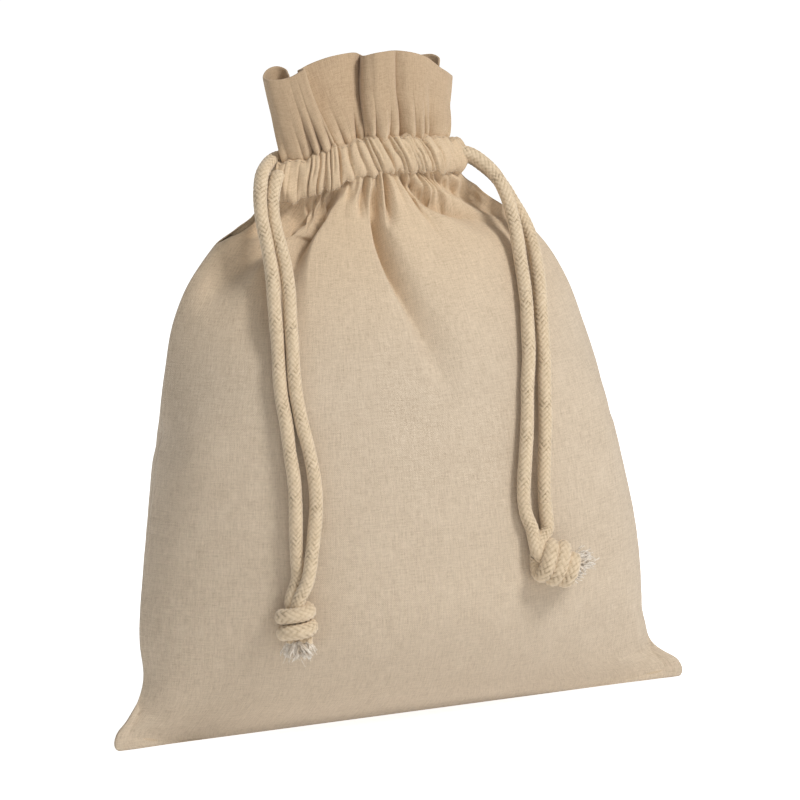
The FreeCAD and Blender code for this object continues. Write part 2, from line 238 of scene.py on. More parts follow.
# ---- the grids of the two panels ---------------------------------------------------------
# rows up a panel: z at the centre, depth, half width, z at the side, half gap at the side,
# sharpness of the section
STATIONS = np.array([
    (0.2, 0.0, 121.4, 0.3, 0.0, 1.60), (2.4, 6.6, 122.4, 2.6, 0.0, 1.60),
    (5.4, 13.2, 121.0, 7.2, 0.0, 1.50), (10.8, 22.6, 116.0, 13.2, 0.0, 1.34),
    (19.0, 32.2, 110.4, 20.2, 0.0, 1.15), (30.0, 41.0, 107.2, 30.0, 0.0, 0.96),
    (42.0, 48.6, 107.0, 43.5, 0.0, 0.82), (66.0, 52.0, 105.6, 66.0, 0.0, 0.75),
    (95.0, 52.4, 100.8, 95.0, 0.0, 0.72), (125.0, 49.6, 94.6, 125.0, 0.0, 0.72),
    (152.0, 44.4, 89.6, 151.5, 0.0, 0.72), (175.0, 37.4, 83.5, 173.0, 0.0, 0.74),
    (193.0, 29.6, 74.0, 189.5, 0.0, 0.78), (206.0, 22.4, 60.5, 202.5, 2.2, 0.86),
    (217.5, 15.4, 38.4, 213.0, 6.0, 1.00)])
STATIONS_WIDTH, STATIONS_DEPTH, STATIONS_HEIGHT = 248.14, 52.58, 213.8   # panel they fit
STATIONS[:, [0, 3]] *= (PANEL_HI[2] - PANEL_LO[2]) / STATIONS_HEIGHT
STATIONS[:, [1, 4]] *= (PANEL_HI[1] - PANEL_LO[1]) / STATIONS_DEPTH
STATIONS[:, 2] *= (PANEL_HI[0] - PANEL_LO[0]) / STATIONS_WIDTH

COLUMNS = 216
CLOTH_LENGTH = 250.0                          # cloth from the bottom seam to the band
FLAT_CENTRE, FLAT_SIDE, FLAT_HALF = 248.5, 240.5, 125.0  # the cloth laid flat
SLIT_Z = 201.0                                # the side seams end here
FINE_ROW, EXTRA_ROW, FINE_ZONE = 1.55, 2.75, 95.0        # row steps close up in the zone


def row_places():
    """Places of the rows up the cloth, 0 at the bottom to 1 at the band."""
    run = [0.0]
    while run[-1] < CLOTH_LENGTH:
        left = CLOTH_LENGTH - run[-1]
        run.append(run[-1] + FINE_ROW + EXTRA_ROW * min(1.0, left / FINE_ZONE))
    return np.array(run) / run[-1]


row_at = row_places()
ROW_COUNT = len(row_at)
across = np.linspace(-1, 1, COLUMNS + 1)
centre_run, side_run = run_length(STATIONS[:, :2]), run_length(STATIONS[:, 2:4])
station_at = (centre_run / centre_run[-1] + side_run / side_run[-1]) / 2
rows = cubic(row_at, station_at, STATIONS)
SLIT_ROW = int(np.argmax(rows[:, 3] > SLIT_Z))
below_band = (1 - row_at) * CLOTH_LENGTH
flat_height = FLAT_SIDE + (FLAT_CENTRE - FLAT_SIDE) * (1 - across**2)

# Creases that run out from the neck. Each has the side of its long wall (+1 is the viewer's
# right for a crease that runs down), then stations of x, z, depth, width of the steep wall,
# width of the long wall
CREASES = {-1: [
    (+1, [(-2.6, 221, 3.6, 0.8, 2.6), (-3.4, 214, 5.6, 0.9, 3.6), (-5.0, 206, 7.2, 1.0, 5.2),
          (-5.6, 196, 8.2, 1.2, 6.8), (-3.6, 184, 7.4, 1.5, 8.5), (0.0, 173, 5.8, 2.0, 10),
          (5.0, 160, 4.2, 3.0, 12), (11, 146, 2.2, 4.6, 12), (16, 133, 0.0, 6.0, 12)]),
    (+1, [(1.8, 222, 3.4, 0.8, 2.4), (2.4, 214, 4.2, 0.9, 2.8), (1.0, 207, 3.0, 1.1, 3.2),
          (-1.0, 200, 0.0, 1.5, 4)]),
    (-1, [(-11.5, 222, 4.6, 0.8, 3.0), (-16.5, 217, 6.6, 0.9, 5.0), (-23.5, 210, 8.2, 1.0, 8.0),
          (-31.5, 202, 8.4, 1.2, 10), (-39.0, 193.5, 7.4, 1.6, 12), (-45.5, 185.5, 5.6, 2.4, 13),
          (-52, 176, 3.4, 3.6, 12), (-58, 165, 1.2, 5.0, 12), (-62, 156, 0.0, 6.0, 10)]),
    (-1, [(-18.5, 219, 4.2, 0.8, 3.0), (-25.0, 214.5, 6.0, 0.9, 5.0),
          (-33.0, 209.5, 7.0, 1.0, 6.4), (-42, 204, 7.0, 1.2, 7.5), (-52, 197.5, 6.8, 1.6, 8.5),
          (-62, 190.5, 5.6, 2.2, 10), (-72, 182, 3.0, 3.4, 10), (-80, 173, 0.0, 5.0, 10)]),
    (-1, [(-30, 213.5, 2.6, 0.8, 3.0), (-38, 211.5, 3.8, 1.0, 4.0), (-47, 207.0, 3.8, 1.2, 4.5),
          (-56, 200.5, 2.4, 1.8, 5.0), (-64, 195, 0.0, 2.5, 5)]),
    (+1, [(-5.2, 222, 2.6, 0.7, 2.2), (-7.8, 215.5, 3.4, 0.8, 2.6), (-10.2, 209.5, 2.0, 1.2, 3.0),
          (-11.5, 205, 0.0, 1.6, 3)]),
    (-1, [(-8.4, 223, 2.4, 0.7, 2.2), (-10.8, 217.5, 2.4, 0.9, 2.6), (-14.5, 212.0, 0.0, 1.2, 3)]),
    (-1, [(6.4, 223, 4.0, 0.8, 2.8), (13.5, 216.5, 6.4, 0.9, 4.4), (22.5, 211.0, 7.0, 1.1, 6.0),
          (33, 206.4, 6.4, 1.4, 7.0), (43, 201.5, 4.8, 2.0, 8.5), (53, 195.5, 2.6, 3.2, 9.0),
          (62, 188, 0.0, 4.6, 9)]),
    (-1, [(17, 221.5, 3.4, 0.8, 2.6), (26, 217.5, 4.8, 0.9, 3.6), (37, 212.0, 5.6, 1.1, 5.0),
          (47, 206.5, 5.4, 1.5, 6.5), (57, 200.5, 3.6, 2.2, 8.0), (66, 193, 0.0, 3.6, 8)]),
    (+1, [(9.4, 221.5, 2.8, 0.8, 2.6), (13, 214.0, 3.4, 1.0, 3.4), (16.5, 206.0, 2.4, 1.6, 5.0),
          (21, 196, 1.0, 3.0, 7.0), (25, 188, 0.0, 4.0, 8)]),
], 1: [
    (+1, [(-3, 221, 4.0, 0.9, 3.0), (-8, 206, 7.2, 1.2, 6.0), (-13, 190, 7.4, 1.6, 11),
          (-18, 171, 5.0, 2.6, 14), (-22, 152, 2.2, 5.0, 12), (-24, 140, 0.0, 6.0, 10)]),
    (+1, [(10, 221, 3.6, 0.9, 3.0), (19, 211, 5.8, 1.2, 6.0), (31, 197, 6.2, 1.8, 10),
          (40, 178, 3.6, 3.0, 12), (46, 161, 0.0, 5.0, 10)]),
    (-1, [(-14, 220, 3.6, 0.9, 3.0), (-28, 213, 5.4, 1.4, 6.0), (-46, 203, 5.0, 2.2, 10),
          (-64, 187, 2.4, 4.0, 11), (-74, 173, 0.0, 5.0, 10)]),
    (-1, [(21, 218, 3.2, 0.9, 3.0), (37, 211, 4.6, 1.4, 5.0), (54, 200, 3.6, 2.2, 8.0),
          (70, 185, 1.4, 4.0, 9.0), (79, 172, 0.0, 5.0, 9)]),
    (+1, [(3.5, 221, 3.0, 0.9, 2.6), (5.5, 209, 3.4, 1.2, 4.0), (7.5, 196, 1.4, 2.0, 6.0),
          (8.5, 187, 0.0, 3.0, 6)]),
    (-1, [(-8.5, 221, 2.6, 0.8, 2.4), (-14, 212, 2.6, 1.0, 3.0), (-20, 203, 0.0, 1.6, 4)]),
]}
CREASE_POINTS = 110


def crease_dip(x, z, creases):
    """How far the cloth dips in: a steep wall on one side of each line, a long one opposite."""
    total = np.zeros_like(x)
    for side, stations in creases:
        stations = np.array(stations, float)
        length = run_length(stations[:, :2])
        line = cubic(np.linspace(0, length[-1], CREASE_POINTS), length, stations)
        line[:, 0] += 0.4 * np.sin(np.linspace(0, 8, CREASE_POINTS) + stations[0, 0])
        tangent = np.gradient(line[:, :2], axis=0)
        tangent /= np.linalg.norm(tangent, axis=1)[:, None]
        nearest = ((x[..., None] - line[:, 0])**2 + (z[..., None] - line[:, 1])**2).argmin(-1)
        at, tangent = line[nearest], tangent[nearest]
        dx, dz = x - at[..., 0], z - at[..., 1]
        # distance from the line, positive towards the long wall
        distance = (np.sqrt(dx**2 + dz**2)
                    * np.sign((-tangent[..., 1] * dx + tangent[..., 0] * dz) * side))
        depth = np.maximum(at[..., 2], 0)
        steep_width, long_width = np.maximum(at[..., 3], 0.5), np.maximum(at[..., 4], 0.8)
        # wider and shallower away from the middle
        outer = smooth((np.abs(at[..., 0]) - 30.0) / 16.0)
        steep_width, depth = steep_width * (1 + 1.2 * outer), depth * (1 - 0.22 * outer)
        steep = np.exp(-(np.maximum(-distance, 0) / steep_width) ** 1.5)
        q = np.clip(1 - np.maximum(distance, 0) / (1.25 * long_width), 0, 1)
        dip = depth * np.where(distance < 0, steep, q * q * (1.5 - 0.5 * q))
        # the cloth next to the steep wall stands a little proud
        proud = bell(np.minimum(distance, 0), -2.6 * steep_width, 2.2 * steep_width)
        dip = dip - 0.10 * depth * proud * (distance < 0)
        total = np.maximum(total, dip) + 0.3 * np.minimum(total, dip)
    return total


def panel_grid(sign):
    """The plain shape of a panel, before cloth settling and creases."""
    grid = np.zeros((ROW_COUNT, COLUMNS + 1, 3))
    for j in range(ROW_COUNT):
        centre_z, depth, half_width, side_z, gap, sharpness = rows[j]
        rise = 6.0 if row_at[j] < 0.12 else 4.0
        x = half_width * across
        y = gap + (depth - gap) * np.maximum(0, 1 - np.abs(across) ** 2.2) ** sharpness
        z = centre_z + (side_z - centre_z) * np.abs(across) ** rise
        # the last rows turn into the gathered band
        neck = smooth(1 - below_band[j] / 20.0)
        y = y * (1 - neck) + (np.abs(bow(x, sign)) + 1.0) * neck
        z = z * (1 - neck) + (band_bottom(x) + 1.6 - below_band[j] * 0.92) * neck
        # the lower right corner and the left side are drawn in, and the top moves left
        right_in = 4.4 * bell(centre_z, 12.5, 4.5 if centre_z < 12.5 else 9.0)
        left_in = 1.8 * bell(centre_z, 42.0, 20.0)
        x = x - right_in * np.clip(across, 0, 1) - left_in * np.clip(-across, 0, 1)
        x = x - 1.2 * smooth((centre_z - 120.0) / 70.0)
        grid[j] = np.stack([x, sign * y, np.maximum(z, 0.25)], -1)
    return grid


def weld(front, back):
    """Joins the plain panels along the bottom and up both sides to the slits."""
    for j in range(SLIT_ROW):
        for i in (0, -1):
            middle = (front[j, i] + back[j, i]) / 2
            middle[1] = 0.0
            front[j, i] = back[j, i] = middle
    front[0, :, 1], front[0, :, 2] = 0.0, 0.35
    back[0] = front[0]


def add_creases(grid, plain, sign):
    """Folds a grid inwards along the creases; the plain shape gives the directions."""
    normal = np.cross(np.gradient(plain, axis=1), np.gradient(plain, axis=0))
    normal /= np.maximum(np.linalg.norm(normal, axis=-1, keepdims=True), 1e-9)
    normal = normal if sign < 0 else -normal
    from_side = 1 - np.abs(across)
    dip = crease_dip(grid[..., 0], grid[..., 2], CREASES[sign]) * smooth(from_side / 0.10)
    dip = 1.32 * dip * (0.45 + 0.55 * smooth(below_band / 8.0))[:, None]
    grid = grid - normal * dip[..., None]
    # short gathers below the band
    gathers = GATHERS[sign]
    top_x = plain[-1, :, 0]
    i, t = gathers.cell(np.clip((across + 1) / 2 - 0.5 * lean_of(top_x), 0, 1))
    random = np.random.RandomState(17 if sign < 0 else 18)
    reach = random.uniform(3.0, 10.0, gathers.count)
    reach = reach * (1 + 0.9 * (random.uniform(0, 1, gathers.count) > 0.72))
    wave = ((np.sin(np.pi * t) ** 0.8 * gathers.height[i] - 0.62) * calm_of(top_x)
            * (1 - 0.45 * smooth((-top_x - 12.0) / 8.0)))
    fade = np.exp(-(below_band[:, None] / reach[i][None, :]) ** 1.5)
    swell = (below_band / 4.6) * np.exp(1 - below_band / 4.6)
    push = (2.6 * wave)[None, :] * fade + (1.5 + 1.5 * wave)[None, :] * swell[:, None]
    push = push * smooth(from_side / 0.04)[None, :]
    nx, ny = bow_normal(np.clip(grid[..., 0], -60, 60), sign)
    grid[..., 0] += nx * push
    grid[..., 1] += ny * push
    return grid


# ---- settling the cloth ------------------------------------------------------------------
SIM_SCALE = 10                                # the cloth settles at ten times its size
SIM_FRAMES = 22
SIM_TOP_PUSH = 0.05                           # share of the pressure near the neck
SIM_LONGEST_MOVE = 15.0
SIM_CLOTH = dict(quality=5, mass=0.01, tension_stiffness=35.0, compression_stiffness=35.0,
                 shear_stiffness=5.0, bending_stiffness=2.0, tension_damping=5,
                 compression_damping=5, shear_damping=5, bending_damping=0.5, air_damping=2,
                 use_pressure=True, uniform_pressure_force=1.0)


def shell(front, back):
    """Both panels as one mesh: points, the same laid flat, quads, and each grid's indices."""
    front_ids = np.arange(ROW_COUNT * (COLUMNS + 1)).reshape(ROW_COUNT, COLUMNS + 1)
    back_ids = np.zeros_like(front_ids)
    points = list(front.reshape(-1, 3))
    flat = [(FLAT_HALF * across[i], 0.0, row_at[j] * flat_height[i])
            for j in range(ROW_COUNT) for i in range(COLUMNS + 1)]
    for j in range(ROW_COUNT):
        for i in range(COLUMNS + 1):
            if j == 0 or (i in (0, COLUMNS) and j < SLIT_ROW):
                back_ids[j, i] = front_ids[j, i]
            else:
                back_ids[j, i] = len(points)
                points.append(back[j, i])
                flat.append((FLAT_HALF * across[i], 2.0, row_at[j] * flat_height[i]))
    quads = []
    for j in range(ROW_COUNT - 1):
        for i in range(COLUMNS):
            ids = front_ids
            quads.append((ids[j, i], ids[j, i + 1], ids[j + 1, i + 1], ids[j + 1, i]))
            ids = back_ids
            quads.append((ids[j, i + 1], ids[j, i], ids[j + 1, i], ids[j + 1, i + 1]))
    return np.array(points), np.array(flat), quads, front_ids, back_ids


def simulation_floor():
    mesh = bpy.data.meshes.new("simfloor")
    mesh.from_pydata([(-3, -3, 0), (3, -3, 0), (3, 3, 0), (-3, 3, 0)], [], [(0, 1, 2, 3)])
    ob = bpy.data.objects.new("simfloor", mesh)
    scene.collection.objects.link(ob)
    ob.modifiers.new("c", "COLLISION")
    ob.collision.thickness_outer = 0.003
    ob.collision.cloth_friction = 10
    return ob


def simulate(points, flat, quads, pinned):
    """Lets the shell settle under inner pressure and returns its points."""
    scale = SIM_SCALE * MM
    mesh = bpy.data.meshes.new("sim")
    mesh.from_pydata([tuple(v) for v in points * scale], [], quads)
    mesh.update()
    ob = bpy.data.objects.new("sim", mesh)
    scene.collection.objects.link(ob)
    ob.shape_key_add(name="Basis")
    rest = ob.shape_key_add(name="flat")
    rest.data.foreach_set("co", (flat * scale).ravel())
    ob.vertex_groups.new(name="pin").add(pinned, 1.0, "REPLACE")
    push = ob.vertex_groups.new(name="push")
    weight = SIM_TOP_PUSH + (1 - SIM_TOP_PUSH) * smooth((188 - points[:, 2]) / 70.0)
    for level in np.linspace(0, 1, 21):
        ids = np.where(np.abs(weight - level) <= 0.025)[0]
        if len(ids):
            push.add([int(v) for v in ids], float(level), "REPLACE")
    cloth = ob.modifiers.new("cloth", "CLOTH")
    cloth.settings.rest_shape_key = rest
    cloth.settings.vertex_group_mass = "pin"
    for setting, value in SIM_CLOTH.items():
        setattr(cloth.settings, setting, value)
    cloth.settings.vertex_group_pressure = "push"
    cloth.settings.effector_weights.gravity = 0.1
    cloth.collision_settings.use_collision = True
    cloth.collision_settings.distance_min = 0.004
    cloth.collision_settings.use_self_collision = False
    floor = simulation_floor()
    cloth.point_cache.frame_start, cloth.point_cache.frame_end = 1, SIM_FRAMES
    for f in range(1, SIM_FRAMES + 1):
        scene.frame_set(f)
    settled = np.zeros(len(points) * 3)
    evaluated = ob.evaluated_get(bpy.context.evaluated_depsgraph_get())
    evaluated.data.vertices.foreach_get("co", settled)
    settled = settled.reshape(-1, 3) / scale
    bpy.data.objects.remove(ob)
    bpy.data.objects.remove(floor)
    bpy.data.meshes.remove(mesh)
    scene.frame_set(1)
    # long moves are held back softly
    move = settled - points
    length = np.linalg.norm(move, axis=1)
    held = np.tanh(length / SIM_LONGEST_MOVE) * SIM_LONGEST_MOVE / np.maximum(length, 1e-9)
    return points + move * np.where(length > 1e-9, held, 1.0)[:, None]


def smooth_rows(move):
    """Evens out the moves along each row, far more near the neck than low down."""
    result = move.copy()
    for j in range(ROW_COUNT):
        sigma = 1.5 + 17.0 * smooth((rows[j, 0] - 95.0) / 85.0)
        r = int(3 * sigma)
        kernel = np.exp(-0.5 * (np.arange(-r, r + 1) / sigma) ** 2)
        kernel /= kernel.sum()
        row = move[j]
        padded = np.concatenate([2 * row[:1] - row[r:0:-1], row,
                                 2 * row[-1:] - row[-2:-r - 2:-1]])
        for axis in range(3):
            result[j, :, axis] = np.convolve(padded[:, axis], kernel, "valid")
    return result


def row_width(row):
    return np.abs(row[:, 0]).max()


def row_depth(row):
    return np.sort(np.abs(row[:, 1]))[-(COLUMNS // 3)]


def fit_rows(grid, plain):
    """Brings each row back to its plain width and depth, keeping its folds."""
    for axis, size in ((0, row_width), (1, row_depth)):
        ratio = np.array([size(plain[j]) / max(size(grid[j]), 1.0) for j in range(ROW_COUNT)])
        ratio = np.clip(ratio, 0.8, 1.25)
        ratio[:2] = 1.0
        for _ in range(6):
            ratio[1:-1] = 0.25 * ratio[:-2] + 0.5 * ratio[1:-1] + 0.25 * ratio[2:]
        grid[..., axis] *= ratio[:, None]
    return grid


def settled_grids():
    """The finished grids of the front and back panels."""
    plain = {sign: panel_grid(sign) for sign in (-1, 1)}
    weld(plain[-1], plain[1])
    points, flat, quads, front_ids, back_ids = shell(plain[-1], plain[1])
    pinned = np.unique(np.concatenate([front_ids[-3:].ravel(), back_ids[-3:].ravel(),
                                       front_ids[0]]))
    points = simulate(points, flat, quads, pinned.tolist())
    grids = []
    for sign, ids in ((-1, front_ids), (1, back_ids)):
        start = plain[sign]
        grid = fit_rows(start + smooth_rows(points[ids] - start), start)
        grids.append(add_creases(grid, start, sign))
    front, back = grids
    for j in range(SLIT_ROW):
        for i in (0, -1):
            front[j, i] = back[j, i] = (front[j, i] + back[j, i]) / 2
    back[0] = front[0]
    for grid in grids:
        grid[..., 2] = np.maximum(grid[..., 2], 0.2)
    return front, back


front_grid, back_grid = settled_grids()


def front_y(x, z):
    """y of the front panel at x, z, from its nearest grid points."""
    points = front_grid.reshape(-1, 3)
    square = (points[:, 0] - x) ** 2 + (points[:, 2] - z) ** 2
    nearest = np.argsort(square)[:6]
    weight = 1 / (square[nearest] + 0.5)
    return float((points[nearest, 1] * weight).sum() / weight.sum())


# ---- panels, casings and headers ---------------------------------------------------------
UV_UNIT = 100.0                               # millimetres of cloth in one uv unit
BACK_UV_SHIFT = 3.7
PANEL_THICKNESS = 0.6
CASING_BASE, CASING_CLOTH = 250, 17           # height up the cloth where it starts; its length
HEADER_BASE, HEADER_CLOTH = 268, 36


def cloth_uv(u, height, sign):
    """uv of a grid of cloth: u from -1 to 1 across it, height up it in mm."""
    u, height = np.broadcast_arrays(u, height)
    shift = 0 if sign < 0 else BACK_UV_SHIFT
    return np.stack([FLAT_HALF * u / UV_UNIT + shift, height / UV_UNIT], -1).reshape(-1, 2)


def panel(face, grid):
    sign = SIGN[face]
    ob = mesh_object(f"{face}_panel_cloth", grid.reshape(-1, 3),
                     grid_faces(ROW_COUNT, COLUMNS + 1, sign),
                     cloth_uv(across[None, :], row_at[:, None] * flat_height[None, :], sign))
    # a weight, stored as w_open, that rises towards the mouth; it is 0 on the sewn side seams
    u = np.abs(across)[None, :]
    start = 150.0 + 51.0 * u**3
    weight = smooth((grid[..., 2] - start) / np.maximum(213.0 - start, 1.0))
    sewn = (u > 0.999) & (np.arange(ROW_COUNT)[:, None] < SLIT_ROW)
    set_attribute(ob, "w_open", np.where(sewn, 0.0, weight).ravel())
    add_subdivision(ob)
    add_thickness(ob, PANEL_THICKNESS, -1.0)
    apply_modifiers(ob)
    weight = np.zeros(len(ob.data.vertices), np.float32)
    ob.data.attributes["w_open"].data.foreach_get("value", weight)
    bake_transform(ob)
    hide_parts(f"{face}_panel")
    return ob


CASING_X0, CASING_X1 = CASING_LO[0] + 4.85, CASING_HI[0] - 5.05
CASING_COLUMNS, CASING_ROWS = 460, 20
CASING_WALL = 0.75


def casing_faces(loop):
    """Quads of the outer and inner tubes, each loop points round, and of their open ends."""
    n = CASING_COLUMNS + 1
    inner = loop * n
    faces = []
    for j in range(loop):
        a, b = j * n, (j + 1) % loop * n
        for i in range(CASING_COLUMNS):
            faces.append((a + i, a + i + 1, b + i + 1, b + i))
            faces.append((inner + a + i, inner + b + i, inner + b + i + 1, inner + a + i + 1))
        faces.append((a, b, inner + b, inner + a))
        a, b = a + n - 1, b + n - 1
        faces.append((inner + a, inner + b, b, a))
    return faces


def casing(face):
    """The stitched band round the neck: a flattened tube gathered on its cords."""
    sign = SIGN[face]
    gathers = GATHERS[sign]
    random = np.random.RandomState(5 if sign < 0 else 6)
    place = np.linspace(0, 1, CASING_COLUMNS + 1)
    x = CASING_X0 + (CASING_X1 - CASING_X0) * place
    left_end = smooth((-x - 25.0) / 9.0)      # puffed open
    right_end = smooth((x - 24.0) / 9.0)      # drawn smooth
    if sign > 0:
        left_end = 0.5 * left_end
    calm = calm_of(x)
    bottom, top = band_bottom(x), band_top(x)
    nx, ny = bow_normal(x, sign)
    y = bow(x, sign)
    # each gather has its own depth at the lower edge, the middle and the upper edge
    depths = 1 + 0.75 * random.uniform(-1, 1, (3, gathers.count))
    wiggle, shift = random.uniform(-1, 1, (2, gathers.count))
    bulges = random.uniform(-1, 1, gathers.count)
    middles = (gathers.edges[:-1] + gathers.edges[1:]) / 2
    rising = np.linspace(0, 1, CASING_ROWS + 1)
    heights = np.concatenate([rising, rising[::-1][1:-1]])
    outer, inner = [], []
    for step, t in enumerate(heights):
        outside = step <= CASING_ROWS         # the wall that faces away from the pouch
        sway = np.interp(place, middles, wiggle) * 0.006 * math.sin(2 * math.pi * t)
        i, q = gathers.cell(np.clip(place + lean_of(x) * (t - 0.5) + sway, 0, 1))
        bulge = bulges[i]
        amount = (depths[0][i] * (1 - t) ** 2 + depths[1][i] * 2 * t * (1 - t)
                  + depths[2][i] * t ** 2)
        skewed = np.clip(q + 0.16 * np.sin(2 * np.pi * q) * bulge, 0, 1)
        ridge = np.sin(np.pi * skewed) ** 0.50
        belly = (4 * t * (1 - t)) ** 0.50
        if outside:
            # the sharp line of each crease, and a split in the wider gathers
            pinch = np.exp(-(np.minimum(skewed, 1 - skewed) / 0.065) ** 1.3)
            split = (np.clip(bulge * 1.6, 0, 1) * bell(skewed, 0.46 + 0.12 * shift[i], 0.07)
                     * np.sin(np.pi * np.clip(1.5 * t - 0.5 * (wiggle[i] > 0), 0, 1)))
            r = 1.1 + (4.1 + 1.4 * left_end + 0.5 * right_end) * belly
            dent = calm * amount * (1.0 * (1 - ridge) + 1.3 * pinch) + 0.8 * calm * split
            r = r - np.minimum(dent, 1.95) * (0.60 + 0.40 * belly)
            r = r + calm * 0.6 * bulge * np.sin(np.pi * t)
            # broad soft folds where the gathers open out
            hollow = bell(x, -32.5, 2.4) * bell(t, 0.45, 0.2)
            r = r + left_end * (1.3 * np.sin((x + 36.0) * 0.62 + 2.2 * t) * belly - 0.8 * hollow)
            r = r + right_end * 0.7 * np.sin((x - 24.0) * 0.45 + 3.0 * (1 - t)) * belly
        else:
            r = -(1.0 + 3.0 * belly) + 0.8 * calm * (1.0 - ridge)
        z = bottom + (top - bottom) * t
        z = z + 0.55 * (1 - belly) * calm * (ridge - 0.5) * (1 if t > 0.5 else -1) * amount
        for sections, wall in ((outer, 0.0), (inner, CASING_WALL)):
            wall_r = r - wall if outside else r + wall
            wall_z = z + (wall if t < 0.5 else -wall) * (1 - 0.8 * belly)
            wall_x = x + nx * wall_r
            if outside:                       # the left end splays
                wall_x = wall_x - left_end * 0.6 * belly
            sections.append(np.stack([wall_x, y + ny * wall_r, wall_z], -1))
    faces = casing_faces(len(heights))
    if sign > 0:
        faces = [quad[::-1] for quad in faces]
    uv = cloth_uv((2 * place - 1)[None, :], (CASING_BASE + CASING_CLOTH * heights)[:, None], sign)
    ob = mesh_object(f"{face}_casing_cloth", np.array(outer + inner).reshape(-1, 3), faces,
                     np.concatenate([uv, uv]))
    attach(ob, f"{face}_mouth")
    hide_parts(f"{face}_casing")
    return ob


HEADER_X0, HEADER_X1 = HEADER_LO[0] + 5.9, HEADER_HI[0] - 9.9
HEADER_COLUMNS, HEADER_ROWS = 380, 30
HEADER_THICKNESS = 0.9
# the folded top edge from the viewer's left: x, y, z, and the place along the band below it
HEADER_TOP = {-1: np.array([
    (-31.4, -6.0, 264.0, 0.000), (-30.9, 0.0, 266.1, 0.045), (-34.0, 2.5, 267.1, 0.085),
    (-38.3, 0.5, 266.4, 0.120), (-42.0, -5.0, 264.5, 0.155), (-42.2, -10.5, 263.3, 0.190),
    (-38.2, -13.5, 263.1, 0.235), (-33.6, -15.0, 264.0, 0.285), (-30.3, -16.2, 265.7, 0.325),
    (-28.2, -16.0, 266.8, 0.352), (-28.1, -13.6, 266.5, 0.366), (-29.3, -12.0, 265.8, 0.382),
    (-27.7, -10.4, 266.1, 0.398), (-24.9, -9.8, 267.2, 0.415), (-21.2, -10.4, 268.5, 0.440),
    (-15.8, -12.0, 269.9, 0.470), (-9.8, -13.0, 270.6, 0.500), (-4.6, -12.0, 270.5, 0.530),
    (-1.4, -9.6, 269.6, 0.550), (0.2, -8.3, 269.1, 0.562), (-1.5, -13.4, 269.3, 0.576),
    (0.3, -16.4, 270.0, 0.602), (5.4, -17.4, 270.5, 0.655), (10.3, -17.0, 270.4, 0.740),
    (13.6, -17.2, 269.9, 0.785), (18.9, -16.4, 268.5, 0.840), (24.7, -14.0, 266.0, 0.895),
    (30.9, -10.0, 261.5, 0.945), (34.8, -7.5, 259.0, 0.975), (37.9, -4.5, 256.9, 1.000)]),
    1: np.array([
    (-24.0, 6.0, 256.0, 0.00), (-28.0, 7.5, 256.5, 0.05), (-30.0, 10.5, 257.0, 0.10),
    (-28.5, 13.5, 258.0, 0.15), (-25.0, 14.6, 259.5, 0.21), (-23.5, 12.6, 261.5, 0.26),
    (-21.5, 10.6, 262.0, 0.30), (-18.0, 13.8, 262.5, 0.34), (-12.0, 17.0, 263.0, 0.40),
    (-5.0, 16.8, 263.6, 0.46), (-1.5, 12.6, 263.8, 0.50), (0.5, 10.6, 264.0, 0.53),
    (4.0, 14.8, 264.0, 0.57), (11.0, 17.8, 264.2, 0.64), (17.0, 16.6, 264.2, 0.70),
    (19.5, 12.4, 264.0, 0.735), (21.5, 11.2, 264.0, 0.76), (26.0, 13.8, 264.2, 0.82),
    (31.5, 13.2, 264.9, 0.88), (35.6, 10.6, 264.9, 0.93), (36.9, 6.8, 263.6, 0.97),
    (35.6, 3.6, 262.2, 1.00)])}
for table in HEADER_TOP.values():             # set about a middle at 0 and a top at 268
    table[:, 0] += (HEADER_LO[0] + HEADER_HI[0]) / 2
    table[:, 2] += HEADER_HI[2] - 268.0
# valleys that run up from the band: place, depth, half widths to the left and right, reach
HEADER_DIPS = {-1: [
    (0.747, 6.4, 0.016, 0.030, 0.80), (0.556, 5.8, 0.090, 0.008, 1.35),
    (0.372, 4.0, 0.006, 0.040, 1.25), (0.905, 3.0, 0.024, 0.034, 0.55),
    (0.285, 1.8, 0.016, 0.012, 0.32), (0.235, 2.2, 0.012, 0.016, 0.38),
    (0.83, 1.4, 0.012, 0.012, 0.30), (0.47, 1.4, 0.014, 0.012, 0.34),
    (0.66, 1.4, 0.010, 0.014, 0.30)], 1: [
    (0.28, 3.6, 0.02, 0.012, 1.1), (0.52, 4.0, 0.012, 0.03, 1.1),
    (0.75, 3.4, 0.03, 0.012, 1.0), (0.40, 1.6, 0.012, 0.02, 0.4),
    (0.64, 1.6, 0.012, 0.02, 0.4), (0.88, 1.6, 0.012, 0.02, 0.4)]}
FRONT_TURN = 0.14                             # part turned back behind the front's left fold


def front_place(place):
    """Evens out the front header's places along its top edge."""
    return np.interp(place, [0, 0.155, 0.352, 0.372, 0.556, 0.747, 1],
                     [0, 0.10, 0.274, 0.293, 0.473, 0.70, 1])


def header_edge(sign, place):
    """The top edge at each place along the sheet."""
    top = HEADER_TOP[sign]
    at = top[:, 3]
    if sign < 0:
        at = np.where(at <= 0.155, at * FRONT_TURN / 0.155,
                      np.where(at < 0.352, FRONT_TURN + (at - 0.155) * 0.236 / 0.197,
                               FRONT_TURN + 0.86 * front_place(at)))
    edge = cubic(place, at, top[:, :3])
    for _ in range(2):
        edge[1:-1] = 0.25 * edge[:-2] + 0.5 * edge[1:-1] + 0.25 * edge[2:]
    return edge


